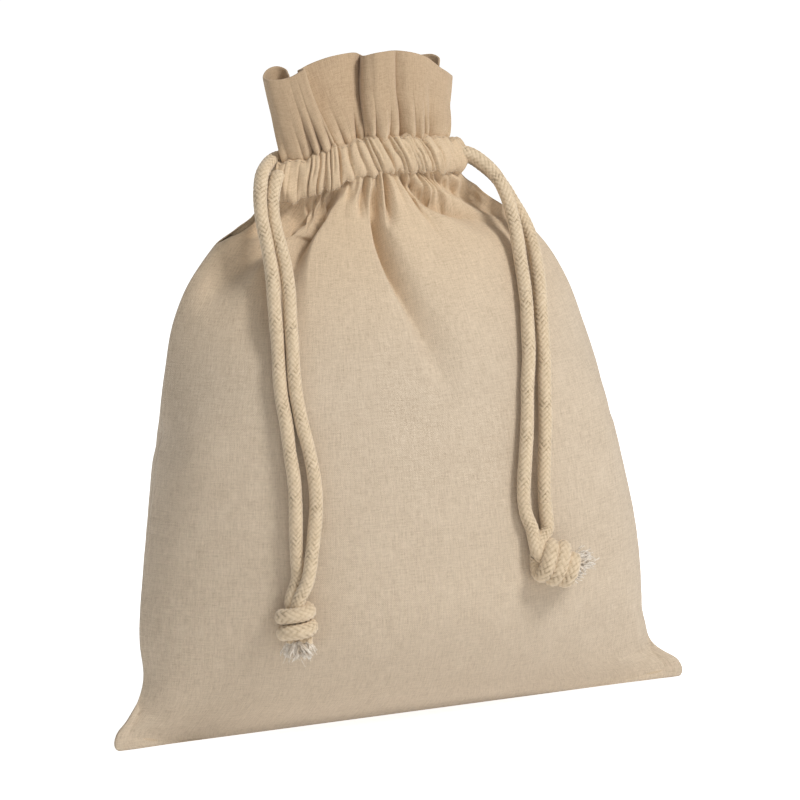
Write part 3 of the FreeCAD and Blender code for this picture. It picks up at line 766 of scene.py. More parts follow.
def header(face):
    """The ruffle above the band: one sheet, open at the sides."""
    sign = SIGN[face]
    place = np.linspace(0, 1, HEADER_COLUMNS + 1)
    edge = header_edge(sign, place)
    turn = FRONT_TURN if sign < 0 else 0.0
    unturned = (place - turn) / (1 - turn)
    x0 = HEADER_X0 + (HEADER_X1 - HEADER_X0) * np.clip(unturned, 0, 1)
    if sign > 0:
        x0 = x0 * 0.9
    nx, ny = bow_normal(x0 * 1.1, sign)
    y0 = bow(x0, sign) - sign * 0.4
    if turn:
        k = np.clip(1 - place / turn, 0, 1)
        x0 = x0 + 6.5 * k ** 1.6 - 0.8 * np.sin(np.pi * k)
        y0 = y0 + 8.5 * k
        nx, ny = nx * (1 - smooth(3 * k)), ny * (1 - smooth(3 * k))
    z0 = band_top(x0) - 2.0
    band_place = (x0 - CASING_X0) / (CASING_X1 - CASING_X0)
    random = np.random.RandomState(31 if sign < 0 else 32)
    gathers = Gathers(43 if sign < 0 else 47, 16)
    i, q = gathers.cell(np.clip(band_place + 0.5 * lean_of(x0), 0, 1))
    reach = random.uniform(0.10, 0.24, gathers.count)
    reach = (reach * (1 + 0.9 * (random.uniform(0, 1, gathers.count) > 0.7)))[i]
    wave = (np.sin(np.pi * q) ** 0.7 * gathers.height[i] - 0.62) * calm_of(x0)
    grid = []
    for step in range(HEADER_ROWS + 1):
        t = step / HEADER_ROWS
        e = 0.40 * smooth(t ** 0.75 * 0.96 + 0.04 * t) + 0.60 * t
        tight = np.exp(-(t / reach) ** 1.4)
        swell = (t / 0.10) * math.exp(1 - t / 0.10) * (1.3 + 2.6 * wave)
        out = 1.7 * math.sin(math.pi * min(1.0, t / 0.55)) * (1 - 0.3 * t)
        lap = 0.0
        for centre, depth, left, right, fade in HEADER_DIPS[sign]:
            d = unturned - (front_place(centre) if sign < 0 else centre)
            valley = np.exp(-(np.abs(d) / np.where(d < 0, left, right)) ** 1.5)
            out = out - depth * valley * math.exp(-(t / fade) ** 2.2) * min(1.0, t / 0.05)
            if sign < 0 and depth > 5.5:      # cloth right of the two deepest laps over them
                size, rise = (2.2, 1.25) if centre < 0.6 else (1.2, 1.0)
                lap = lap + (size * bell(d, 0.012, 0.016)
                             * math.sin(math.pi * min(1.0, t / rise)) ** 0.8)
        push = 1.8 * tight * wave + swell + out
        grid.append(np.stack([x0 * (1 - e) + edge[:, 0] * e + nx * push - lap,
                              y0 * (1 - e) + edge[:, 1] * e + ny * push,
                              z0 + (edge[:, 2] - z0) * t], -1))
    height = HEADER_BASE + HEADER_CLOTH * np.linspace(0, 1, HEADER_ROWS + 1)
    ob = mesh_object(f"{face}_header_cloth", np.array(grid).reshape(-1, 3),
                     grid_faces(HEADER_ROWS + 1, HEADER_COLUMNS + 1, sign),
                     cloth_uv((2 * place - 1)[None, :], height[:, None], sign))
    add_thickness(ob, HEADER_THICKNESS, -0.4)
    add_subdivision(ob)
    apply_modifiers(ob)
    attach(ob, f"{face}_mouth")
    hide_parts(f"{face}_header")
    return ob


cloth_pieces = [panel("front", front_grid), panel("back", back_grid)]
casings = {face: casing(face) for face in SIGN}
cloth_pieces += [*casings.values(), header("front"), header("back")]

# ---- braided cord and thin tubes ---------------------------------------------------------
CORD_R = 2.72
BRAID_CARRIERS = 4                            # half the carriers that run one way
BRAID_TWIST = math.pi / 2.15                  # radians a millimetre


def frames_along(points, start_normal=(0, -1, 0.01)):
    """Tangents, and two normals carried along the line without twisting."""
    tangent = np.gradient(points, axis=0)
    tangent /= np.linalg.norm(tangent, axis=1)[:, None]
    normal = np.zeros_like(points)
    previous = np.asarray(start_normal, float)
    for k in range(len(points)):
        normal[k] = unit(previous - tangent[k] * (previous @ tangent[k]))
        previous = normal[k]
    return tangent, normal, np.cross(tangent, normal)


def resample(points, spacing):
    """Even points along a smooth line, and the length run at each."""
    points = np.asarray(points, float)
    length = run_length(points)
    count = max(200, int(length[-1] * 8))
    dense = cubic(np.linspace(0, length[-1], count), length, points)
    length = run_length(dense)
    at = np.linspace(0, length[-1], max(2, int(round(length[-1] / spacing))) + 1)
    return along(at, length, dense), at


def braid_height(angle, run):
    """Height of the braid, 0 to 1: at each crossing one of the two yarns lies on top."""
    a = (BRAID_CARRIERS * angle + BRAID_TWIST * run) / math.pi
    b = (BRAID_CARRIERS * angle - BRAID_TWIST * run) / math.pi
    whole_a, whole_b = np.floor(a), np.floor(b)
    cos_a, cos_b = np.cos(np.pi * (a - whole_a - 0.5)), np.cos(np.pi * (b - whole_b - 0.5))
    # rounding can leave a cosine a hair from 0, never usefully below it
    return np.where(np.mod(whole_a + whole_b, 4) < 2,
                    cos_a ** 0.55 * (0.72 + 0.28 * cos_b), cos_b ** 0.55 * (0.72 + 0.28 * cos_a))


class Strand:
    """A braided cord along a smooth path. Slices of it have matching cut faces."""

    def __init__(self, points, seed, radius=CORD_R, spacing=0.42, sides=40, braid_start=0.0):
        self.points, self.run = resample(points, spacing)
        self.tangent, self.normal, self.binormal = frames_along(self.points)
        self.sides, self.braid_start, self.nominal = sides, braid_start, radius
        phase = np.random.RandomState(seed).uniform(0, 6.28, 3)
        self.radius = radius * (1 + 0.018 * np.sin(self.run / 7.0 + phase[0])
                                + 0.014 * np.sin(self.run / 3.1 + phase[1]))
        self.twist = 0.25 * np.sin(self.run / 40.0 + phase[2])
        self.length = self.run[-1]

    def near(self, point):
        """The length run at the place nearest a point."""
        distance = np.linalg.norm(self.points - np.asarray(point, float), axis=1)
        return float(self.run[np.argmin(distance)])

    def slice(self, start, end):
        first, last = (int(np.argmin(np.abs(self.run - s))) for s in (start, end))
        cut = slice(first, last + 1)
        run, centre, k = self.run[cut], self.points[cut], self.sides
        angle, braid_run = np.meshgrid(np.linspace(0, 2 * np.pi, k, endpoint=False),
                                       run + self.braid_start)
        height = braid_height(angle, braid_run)
        r = (self.radius[cut][:, None] * (0.855 + 0.185 * height))[..., None]
        turned = (angle + self.twist[cut][:, None])[..., None]
        surface = centre[:, None, :] + r * (np.cos(turned) * self.normal[cut][:, None, :]
                                            + np.sin(turned) * self.binormal[cut][:, None, :])
        rings = len(run)
        faces = grid_faces(rings, k, close_columns=True)
        start_centre, end_centre, last_ring = rings * k, rings * k + 1, (rings - 1) * k
        for c in range(k):
            d = (c + 1) % k
            faces.append((start_centre, d, c))
            faces.append((end_centre, last_ring + c, last_ring + d))
        uv = np.stack([angle.ravel() * self.nominal / 10.0, braid_run.ravel() / 10.0], -1)
        return dict(vertices=np.concatenate([surface.reshape(-1, 3), centre[[0, -1]]]),
                    faces=faces, run=np.concatenate([np.repeat(run, k), run[[0, -1]]]),
                    braid=np.concatenate([height.ravel(), [0.5, 0.5]]),
                    uv=np.concatenate([uv, np.zeros((2, 2))]))

    def whole(self):
        return self.slice(0.0, self.length)


def thin_tube(points, radii, sides):
    points = np.asarray(points, float)
    _, normal, binormal = frames_along(points, (0.3, -1, 0.2))
    angle = np.linspace(0, 2 * np.pi, sides, endpoint=False)
    ring = (np.cos(angle)[None, :, None] * normal[:, None, :]
            + np.sin(angle)[None, :, None] * binormal[:, None, :])
    vertices = (points[:, None, :] + np.asarray(radii)[:, None, None] * ring).reshape(-1, 3)
    count = len(points)
    faces = grid_faces(count, sides, close_columns=True)
    faces.append(tuple(range(sides))[::-1])
    faces.append(tuple((count - 1) * sides + k for k in range(sides)))
    uv = np.stack([np.tile(angle, count) / 10, np.repeat(np.arange(count), sides) / 10.0], -1)
    return dict(vertices=vertices, faces=faces, braid=np.ones(len(vertices)), uv=uv)


def join_parts(name, parts):
    faces, offset = [], 0
    for part in parts:
        faces += [tuple(i + offset for i in face) for face in part["faces"]]
        offset += len(part["vertices"])
    vertices, uv, braid = (np.concatenate([part[key] for part in parts])
                           for key in ("vertices", "uv", "braid"))
    ob = mesh_object(name, vertices, faces, uv)
    set_attribute(ob, "braid", braid)
    return ob


# ---- the cords' paths --------------------------------------------------------------------
# x_sign: the side the cord leaves from. top_shift and knot_shift: x moves, mm, of the ends of
# the tail's line. across: direction between its two strands. The rest shapes the knot: the
# wraps' half sizes, turns, first angle, hand, tilt, and the part in which they widen
TAILS = {
    "left": SimpleNamespace(
        x_sign=-1, top_shift=0.5, knot_shift=0.8, across=np.array((0.91, -0.42, 0.0)),
        knot_move=(0.0, 0.0, 1.2), knot_axis=(0.0, 0.0, -1.0), knot_out=(-0.22, -1.0, 0.0),
        wrap_wide=5.3, wrap_deep=4.7, turns=2.2, first_angle=-0.6 * math.pi, hand=-1.0,
        tilt=0.7, widen=0.14, wrap_radius=3.15, wrap_seed=40,
        strand_seeds={"front": 3, "back": 12}, return_seed=71, fray_seed=91),
    "right": SimpleNamespace(
        x_sign=1, top_shift=1.5, knot_shift=-3.3, across=np.array((0.93, 0.36, 0.0)),
        knot_move=(-2.1, 0.0, 0.9), knot_axis=(0.97, -0.08, -0.24), knot_out=(0.10, -1.0, 0.0),
        wrap_wide=6.3, wrap_deep=4.6, turns=2.9, first_angle=-math.pi, hand=1.0,
        tilt=0.0, widen=0.30, wrap_radius=3.3, wrap_seed=41,
        strand_seeds={"front": 10, "back": 19}, return_seed=71, fray_seed=92)}
TAILS["left"].return_seed = 70
CORD_GAP = 3.0                                # from a cord's centre line to the cloth

# the strands from their casing's mouth down to the knot: x from the tail's line, y, and z
# from the casing's bottom; y is None where the strand lies on the cloth
STRANDS = {
    ("left", "back"): [
        (17.0, 3.0, 16.2), (11.3, -2.0, 16.4), (6.0, -7.5, 14.5), (2.6, -11.5, 11.6),
        (0.5, -15.0, 7.7), (-1.4, -19.0, 2.6), (-2.3, -22.5, -5.0), (-2.0, -25.0, -12.7),
        (-1.5, -27.5, -20.5), (-1.4, -30.0, -28.2), (-2.1, -33.0, -35.8), (-2.5, -35.5, -43.4),
        (-2.3, None, -53.4), (-3.1, None, -64.8), (-3.0, None, -74.5), (-2.3, None, -82.3),
        (-1.7, None, -94.0), (-0.6, None, -105.9), (-0.5, None, -115.8), (-0.4, None, -125.7),
        (-0.0, None, -135.7), (0.7, None, -144.9)],
    ("left", "front"): [
        (22.0, -8.2, 3.8), (17.0, -7.2, 6.0), (12.6, -7.9, 8.6), (9.4, -10.6, 10.2),
        (7.1, -13.2, 7.4), (4.8, -16.0, 2.1), (3.4, -19.5, -3.4), (3.2, -22.5, -9.5),
        (3.7, -25.5, -15.7), (4.4, -28.0, -21.9), (4.6, -30.5, -28.8), (4.2, -33.5, -36.4),
        (3.5, -36.0, -44.0), (3.1, None, -53.7), (2.3, None, -65.2), (2.7, None, -74.9),
        (3.5, None, -82.7), (5.6, None, -94.6), (7.1, None, -106.5), (7.3, None, -116.4),
        (6.6, None, -126.2), (5.0, None, -136.0), (3.0, None, -145.9)],
    ("right", "front"): [
        (-20.2, -7.6, 13.2), (-16.8, -7.8, 12.6), (-12.5, -9.0, 11.0), (-7.9, -12.0, 7.1),
        (-4.6, -15.0, 2.6), (-2.6, -18.0, -3.0), (-1.1, -20.0, -9.5), (-1.1, -22.0, -16.7),
        (-1.7, -24.5, -23.7), (-1.7, -27.5, -31.5), (-1.7, -31.0, -39.2), (-2.2, -34.0, -46.9),
        (-3.0, None, -56.5), (-4.2, None, -67.9), (-6.0, None, -79.4), (-7.5, None, -93.0),
        (-9.0, None, -104.6), (-10.3, None, -114.3), (-10.8, None, -123.4),
        (-9.8, None, -130.0), (-7.5, None, -135.5)],
    ("right", "back"): [
        (-14.8, 6.0, 10.4), (-8.2, 3.0, 8.4), (-4.0, -1.0, 4.6), (-0.6, -5.0, 0.2),
        (1.5, -9.0, -4.6), (3.2, -12.5, -9.8), (4.7, -15.0, -14.6), (5.6, -17.0, -19.5),
        (6.2, -19.0, -25.0), (6.5, -22.5, -32.0), (5.9, -27.0, -40.4), (5.2, -30.5, -48.0),
        (4.0, None, -57.5), (3.2, None, -69.0), (2.0, None, -80.6), (1.1, None, -94.2),
        (-0.2, None, -105.9), (-1.0, None, -115.7), (-1.0, None, -124.9), (-0.5, None, -131.4),
        (0.0, None, -136.7)]}


def knot_middle(side):
    low, high = low_high(f"{side}_knot")
    return (low + high) / 2


def tail_line(side):
    """A tail's CAD line: its top, its three pivots, and above the middle of the knot."""
    tail = TAILS[side]
    swing, bend, knot = (PIVOT[f"{side}_{joint}"]
                         for joint in ("tail_swing", "tail_bend", "knot_swing"))
    top_z = low_high(f"{side}_cord_top")[1][2] - 3.0
    top = (swing[0] + tail.top_shift * np.sign(-swing[0]), swing[1] + 6.5, top_z)
    end = knot_middle(side) + np.array((tail.knot_shift, 0.0, 9.7))
    return np.array([top, swing, bend, knot, end])


for side, tail in TAILS.items():
    tail.line = tail_line(side)
for (side, face), table in STRANDS.items():
    line = TAILS[side].line[::-1]
    STRANDS[side, face] = [
        (float(np.interp(z + CASING_LO[2], line[:, 2], line[:, 0])) + dx, y, z + CASING_LO[2])
        for dx, y, z in table]


def lay(point, gap):
    """Puts a point of a cord on the cloth, bridging its folds; one held clear stays."""
    x, y, z = point
    near = min(front_y(x + dx, z + dz)
               for dx, dz in ((0, 0), (-2.6, 0), (2.6, 0), (0, 4.0), (0, -4.0)))
    slope = (front_y(x, z + 5.0) - front_y(x, z - 5.0)) / 10.0
    rest = near - gap * math.sqrt(1 + min(slope, 1.2) ** 2)
    return np.array((x, rest if y is None or y > rest and z < 195.0 else y, z))


def run_point(side, x, sign):
    """A point of a cord inside the band: the left cord low, the right cord above it."""
    rise = 4.4 if side == "left" else 10.4 + 2.0 * smooth((-x - 20.0) / 8.0)
    return np.array((x, float(bow(x, sign)) - 0.3 * sign, float(band_bottom_mean(x) + rise)))


def strand_path(side, face):
    """One strand's path: out of its casing, over, down the front, to the knot."""
    path = [run_point(side, x * TAILS[side].x_sign, SIGN[face]) for x in (22.0, 27.0)]
    if (side, face) == ("left", "back"):
        path.append(np.array((-31.6, 8.6, 226.0)))
    table = STRANDS[side, face]
    for k, point in enumerate(table):
        gap = CORD_GAP
        if (side, face) == ("left", "front"):
            gap += 4.6 * float(smooth((k - (len(table) - 1 - 2.2)) / 2.2))
        elif side == "right":
            gap += 0.8 * bell(point[2], PIVOT["right_knot_swing"][2], 16.0)
        path.append(lay(point, gap))
    return path


def knot_frame(side):
    """The knot's centre, its axis, the direction away from the cloth, and the one across."""
    tail = TAILS[side]
    centre = knot_middle(side) + np.array(tail.knot_move)
    axis = unit(tail.knot_axis)
    out = unit(tail.knot_out)
    out = unit(out - axis * (out @ axis))
    centre[1] = front_y(centre[0], centre[2]) - 7.2
    return centre, axis, out, np.cross(axis, out)


def knot_wrap(side):
    """Path of the knot's wraps round its axis."""
    tail = TAILS[side]
    centre, axis, out, sideways = knot_frame(side)
    path = []
    for k in range(91):
        t = k / 90
        angle = tail.hand * (2 * math.pi * tail.turns * t) + tail.first_angle
        ramp = min(1.0, t / tail.widen, (1 - t) / 0.12)
        size = 0.42 + 0.58 * math.sin(0.5 * math.pi * max(0.0, ramp))
        path.append(centre + axis * ((t - 0.5) * 14.4 - tail.tilt * math.cos(angle))
                    + sideways * (tail.wrap_wide * size * math.cos(angle))
                    + out * (tail.wrap_deep * size * math.sin(angle)))
    return path


def tail_strand(side, face):
    """A strand from its casing through the knot, with the lengths at which it is cut."""
    tail = TAILS[side]
    centre, axis, out, _ = knot_frame(side)
    offset = 2.3 * -SIGN[face] * -tail.x_sign
    if side == "left":
        entry = (centre - axis * 9.0 + tail.across * offset * 0.55
                 + out * (1.9 if face == "front" else -0.9))
    else:
        entry = (centre - axis * 6.2 + np.array((0.0, 0.0, 5.2 if face == "back" else 2.2))
                 + out * 1.0)
    through = centre + tail.across * offset * 0.2 - out * 0.6
    end = centre + axis * 7.6 + tail.across * offset * 0.9 - out * 0.8
    strand = Strand(strand_path(side, face) + [entry, through, end], tail.strand_seeds[face])
    # cuts: half way down the arch over the casing, then half way along each rigid body
    strand.joints = [strand.near(point) for point in tail.line]
    arch = strand.near(tail.line[0] + np.array((0, 0, 1.0))) - 13.0
    strand.cuts = [arch] + [(strand.joints[k] + strand.joints[k + 1]) / 2 for k in range(4)]
    return strand


# ---- the cords' pieces -------------------------------------------------------------------
# stretches down a tail: name, CAD node, the body at its lower end, half the bend's length
STRETCHES = [("fall", "top", "top", None), ("shoulder", "upper", "upper", 4.5),
             ("hang", "middle", "middle", 9.0), ("tail", "lower", "end", 9.0)]


def cord_exit(side, face, strand):
    arch = strand.cuts[0]
    part = strand.slice(0.0, arch)
    ob = join_parts(f"{side}_cord_{face}_exit", [part])
    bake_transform(ob)
    leaves = strand.near(STRANDS[side, face][1])
    if face == "front":
        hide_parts(f"{side}_cord_exits")
    return ob


def cord_stretches(side, strands):
    pieces = []
    for k, (name, node, lower, half) in enumerate(STRETCHES):
        parts, weights = [], []
        for strand in strands:
            start, end = strand.cuts[k:k + 2]
            part = strand.slice(start, end)
            if half is None:
                weight = (part["run"] - (start + 1.0)) / max(end - 2.0 - start - 1.0, 4.0)
            else:
                weight = (part["run"] - (strand.joints[k] - half)) / (2 * half)
            parts.append(part)
            weights.append(smooth(weight))
        ob = join_parts(f"{side}_cord_{name}", parts)
        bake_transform(ob)
        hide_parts(f"{side}_cord_{node}")
        pieces.append(ob)
    return pieces


def knot(side, strands):
    """Both strands through the knot, and the wraps."""
    tail = TAILS[side]
    wrap = Strand(knot_wrap(side), tail.wrap_seed, radius=tail.wrap_radius, braid_start=1.7)
    parts = [strand.slice(strand.cuts[-1], strand.length) for strand in strands]
    ob = join_parts(f"{side}_knot_cord", parts + [wrap.whole()])
    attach(ob, f"{side}_tail_end")
    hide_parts(f"{side}_knot")
    return ob


def cord_inside(side, face):
    """A cord inside one casing, to its far end."""
    x_sign, sign = TAILS[side].x_sign, SIGN[face]
    path = [run_point(side, x, sign) for x in np.linspace(22.0 * x_sign, -31.0 * x_sign, 30)]
    strand = Strand(path, 60 + (x_sign > 0) * 2 + (sign > 0), sides=28, spacing=0.6)
    ob = join_parts(f"{side}_cord_{face}_inside", [strand.whole()])
    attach(ob, f"{face}_mouth")
    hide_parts(f"{side}_cord_{face}_run")
    return ob


def cord_return(side):
    """The bend from the front casing to the back one, in two halves."""
    x_sign = TAILS[side].x_sign
    z = run_point(side, -31.0 * x_sign, -1)[2]
    y = -float(bow(31.0, -1)) - 0.3
    plan = [(31.0, -y), (34.8, -6.2), (37.4, -3.3), (38.3, 0.0), (37.4, 3.3), (34.8, 6.2),
            (31.0, y)]
    strand = Strand([(-x * x_sign, y, z) for x, y in plan], TAILS[side].return_seed, sides=32)
    half = strand.length / 2
    front, back = strand.slice(0, half), strand.slice(half, strand.length)
    front_ob = join_parts(f"{side}_cord_return_front", [front])
    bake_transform(front_ob)
    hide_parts(f"{side}_cord_return_bend")
    back_ob = join_parts(f"{side}_cord_return_back", [back])
    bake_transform(back_ob)
    return [front_ob, back_ob]


cord_pieces = []
for side, tail in TAILS.items():
    strands = {face: tail_strand(side, face) for face in SIGN}
    cord_pieces += [cord_exit(side, face, strand) for face, strand in strands.items()]
    cord_pieces += cord_stretches(side, strands.values())
    cord_pieces.append(knot(side, strands.values()))
    tail.ends = {face: (strand.points[-1], strand.tangent[-1])
                 for face, strand in strands.items()}
for side in TAILS:
    cord_pieces += [cord_inside(side, face) for face in SIGN]
    cord_pieces += cord_return(side)

# ---- frayed cord ends --------------------------------------------------------------------
# radius: of the bundle, filled from the inner share outwards. setback and ahead: where a yarn
# starts from the cord's end. taper and opening: how the bundle narrows and bellies.
# thickness: places along a yarn and its radius there
YARN = SimpleNamespace(count=22, radius=2.3, inner=0.15, length=(4.6, 7.0), spread=0.18,
                       curl=0.9, curl_share=0.9, points=8, taper=0.35, opening=2.3,
                       wobble=0.07, setback=1.5, ahead=1.0, sides=6,
                       thickness=([0, 0.6, 1], [0.62, 0.62, 0.40]))
FIBRE = SimpleNamespace(count=110, radius=2.7, inner=0.0, length=(4.4, 7.6), spread=0.26,
                        curl=1.3, curl_share=1.0, points=7, taper=0.3, opening=2.2,
                        wobble=0.10, setback=1.0, ahead=0.0, sides=4,
                        thickness=([0, 1], [0.24, 0.16]))


def loose_end(random, kind, angle, start, tangent, direction):
    """One yarn or fibre that leaves the cord's end at an angle round it."""
    normal = unit(np.cross(direction, (0.2, 0.4, 1.0)))
    radial = normal * math.cos(angle) + np.cross(direction, normal) * math.sin(angle)
    radius = kind.radius * math.sqrt(random.uniform(kind.inner, 1))
    length = random.uniform(*kind.length)
    spread = random.uniform(0.0, kind.spread)
    curl = random.normal(0, kind.curl, 3)
    places = np.linspace(0, 1, kind.points)
    points = []
    for q in places:
        r = (radius * (1 - kind.taper * q ** 3)
             + spread * length * math.sin(kind.opening * q) ** 1.2)
        points.append(start - tangent * kind.setback + direction * (length * q + kind.ahead)
                      + radial * r + curl * kind.curl_share * q * q
                      + random.normal(0, kind.wobble, 3))
    return thin_tube(points, np.interp(places, *kind.thickness), kind.sides)


def frayed_tip(side):
    tail = TAILS[side]
    sideways = knot_frame(side)[3]
    random = np.random.RandomState(tail.fray_seed)
    middle = (tail.ends["front"][0] + tail.ends["back"][0]) / 2
    parts = []
    for face, (start, tangent) in tail.ends.items():
        if side == "left":
            start = middle + 0.30 * (start - middle)
            turn = np.array((0.10, -0.10, 0.0)) + 0.30 * sideways * SIGN[face]
        else:
            turn = np.array((0.25, -0.1, 0.55) if face == "back" else (-0.1, -0.1, -0.35))
        direction = unit(unit(tangent) + turn)
        for k in range(YARN.count):
            angle = 2 * math.pi * (k + random.uniform(-0.3, 0.3)) / YARN.count
            parts.append(loose_end(random, YARN, angle, start, tangent, direction))
        for k in range(FIBRE.count):
            angle = random.uniform(0, 2 * math.pi)
            parts.append(loose_end(random, FIBRE, angle, start, tangent, direction))
    ob = join_parts(f"{side}_frayed_tip", parts)
    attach(ob, f"{side}_tail_end")
    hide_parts(f"{side}_frayed_ends")
    return ob


fray_pieces = [frayed_tip(side) for side in TAILS]

# ---- stitching and overlocked seam allowances --------------------------------------------
STITCH_PITCH, STITCH_LENGTH, STITCH_START = 2.6, 1.7, 0.8
STITCH_LIFT = np.array([-0.15, 0.22, 0.28, 0.22, -0.15])  # out of the cloth, along a stitch
STITCH_RADII = [0.16, 0.20, 0.21, 0.20, 0.16]


def stitch_row(face, edge):
    """Running stitches along one edge of a casing."""
    mesh = casings[face].data
    points = np.zeros(len(mesh.vertices) * 3)
    mesh.vertices.foreach_get("co", points)
    n = CASING_COLUMNS + 1
    row = 1 if edge == "lower" else CASING_ROWS - 1
    line = points.reshape(-1, 3)[row * n:(row + 1) * n] / MM
    length = run_length(line)
    parts = []
    start = STITCH_START
    while start + STITCH_LENGTH < length[-1]:
        stitch = along(np.linspace(start, start + STITCH_LENGTH, 5), length, line)
        nx, ny = bow_normal(stitch[:, 0], SIGN[face])
        stitch = stitch + np.stack([nx, ny, 0 * nx], -1) * STITCH_LIFT[:, None]
        parts.append(thin_tube(stitch, STITCH_RADII, 6))
        start += STITCH_PITCH
    ob = join_parts(f"{face}_{edge}_stitch_row", parts)
    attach(ob, f"{face}_mouth")
    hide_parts(f"{face}_{edge}_stitching")
    return ob


# section of a seam allowance: distance in from the seam, height off its middle
ALLOWANCE = [(1.6, 0.28), (3.2, 0.34), (4.8, 0.30), (5.2, 0.0), (4.8, -0.30), (3.2, -0.34),
             (1.6, -0.28), (1.3, 0.0)]
OVERLOCK_PITCH = 1.6


def overlock(name, edge, inward, node):
    """A seam allowance inside the pouch, edged with a zigzag thread."""
    length = run_length(edge)
    at = np.arange(4.0, length[-1] - 3.0, OVERLOCK_PITCH)
    line, inward = along(at, length, edge), along(at, length, inward)
    inward /= np.linalg.norm(inward, axis=1)[:, None]
    tangent = np.gradient(line, axis=0)
    tangent /= np.linalg.norm(tangent, axis=1)[:, None]
    normal = np.cross(inward, tangent)
    ripple = 0.12 * np.sin(at / 2.3)[:, None]
    vertices = np.concatenate([line + inward * d + normal * (h + ripple) for d, h in ALLOWANCE])
    m, n = len(ALLOWANCE), len(line)
    faces = grid_faces(m, n, close_rows=True)
    faces.append(tuple(a * n for a in range(m)))
    faces.append(tuple(a * n + n - 1 for a in range(m))[::-1])
    allowance = dict(vertices=vertices, faces=faces, braid=np.full(len(vertices), 0.6),
                     uv=vertices[:, [0, 2]] / UV_UNIT)
    zigzag = []
    for k in range(n):
        d, h = (2.4, 0.55) if k % 2 else (5.3, 0.1)
        zigzag.append(line[k] + inward[k] * d + normal[k] * h)
    ob = join_parts(name, [allowance, thin_tube(zigzag, np.full(n, 0.2), 5)])
    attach(ob, "pouch")
    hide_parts(node)
    return ob


def side_overlock(side, column, inner_column):
    sewn = slice(2, SLIT_ROW - 3)
    edge = front_grid[sewn, column]
    inside = (front_grid[sewn, inner_column] + back_grid[sewn, inner_column]) / 2
    return overlock(f"{side}_seam_allowance", edge, inside - edge, f"{side}_side_overlock")


bottom_edge = front_grid[0, 3:COLUMNS - 2]
thread_pieces = [stitch_row(face, edge) for face in SIGN for edge in ("lower", "upper")]
thread_pieces += [
    side_overlock("left", 0, 3), side_overlock("right", COLUMNS, COLUMNS - 3),
    overlock("bottom_seam_allowance", bottom_edge,
             np.tile([[0.0, 0.0, 1.0]], (len(bottom_edge), 1)), "bottom_overlock")]


# ---- materials ---------------------------------------------------------------------------
def scaled(colour, *factors):
    return tuple(c * f for c, f in zip(colour, factors))


class Shader:
    """Builds a material's nodes. An input is given as a number, a colour or a socket."""

    def __init__(self, name):
        self.material = bpy.data.materials.new(name)
        self.material.use_nodes = True
        self.tree = self.material.node_tree
        self.surface = self.tree.nodes["Principled BSDF"]

    def fill(self, node, inputs):
        for key, value in inputs.items():
            if isinstance(value, bpy.types.NodeSocket):
                self.tree.links.new(value, node.inputs[key])
            else:
                node.inputs[key].default_value = value

    def node(self, kind, inputs={}, **settings):
        node = self.tree.nodes.new(kind)
        for key, value in settings.items():
            setattr(node, key, value)
        self.fill(node, inputs)
        return node

    def math(self, operation, *values):
        inputs = dict(enumerate(values))
        return self.node("ShaderNodeMath", inputs, operation=operation).outputs[0]

    def centred(self, value, strength):
        return self.math("MULTIPLY", self.math("SUBTRACT", value, 0.5), strength)

    def noise(self, vector, scale, detail, roughness=0.5):
        inputs = {"Vector": vector, "Scale": scale, "Detail": detail, "Roughness": roughness}
        return self.node("ShaderNodeTexNoise", inputs, noise_dimensions="3D").outputs[0]

    def wave(self, vector, scale, distortion):
        inputs = {"Vector": vector, "Scale": scale, "Distortion": distortion, "Detail": 2.0}
        return self.node("ShaderNodeTexWave", inputs, wave_type="BANDS",
                         bands_direction="DIAGONAL").outputs[1]

    def place(self):
        return self.node("ShaderNodeTexCoord").outputs["Object"]

    def uv(self):
        return self.node("ShaderNodeUVMap", uv_map="cloth").outputs[0]

    def ramp(self, factor, stops):
        node = self.node("ShaderNodeValToRGB", {0: factor})
        elements = node.color_ramp.elements
        while len(elements) < len(stops):
            elements.new(0.5)
        for element, (position, colour) in zip(elements, stops):
            element.position = position
            element.color = (*colour, 1.0)
        return node.outputs[0]

    def finish(self, colour, roughness, height, bump_strength, bump_distance, **surface):
        """Joins up the surface; extra names are its inputs, with _ for a space."""
        bump = self.node("ShaderNodeBump", {"Strength": bump_strength, "Height": height,
                                            "Distance": bump_distance})
        self.fill(self.surface, {"Base Color": colour, "Roughness": roughness,
                                 "Normal": bump.outputs[0]})
        self.fill(self.surface, {key.replace("_", " "): v for key, v in surface.items()})
        return self.material


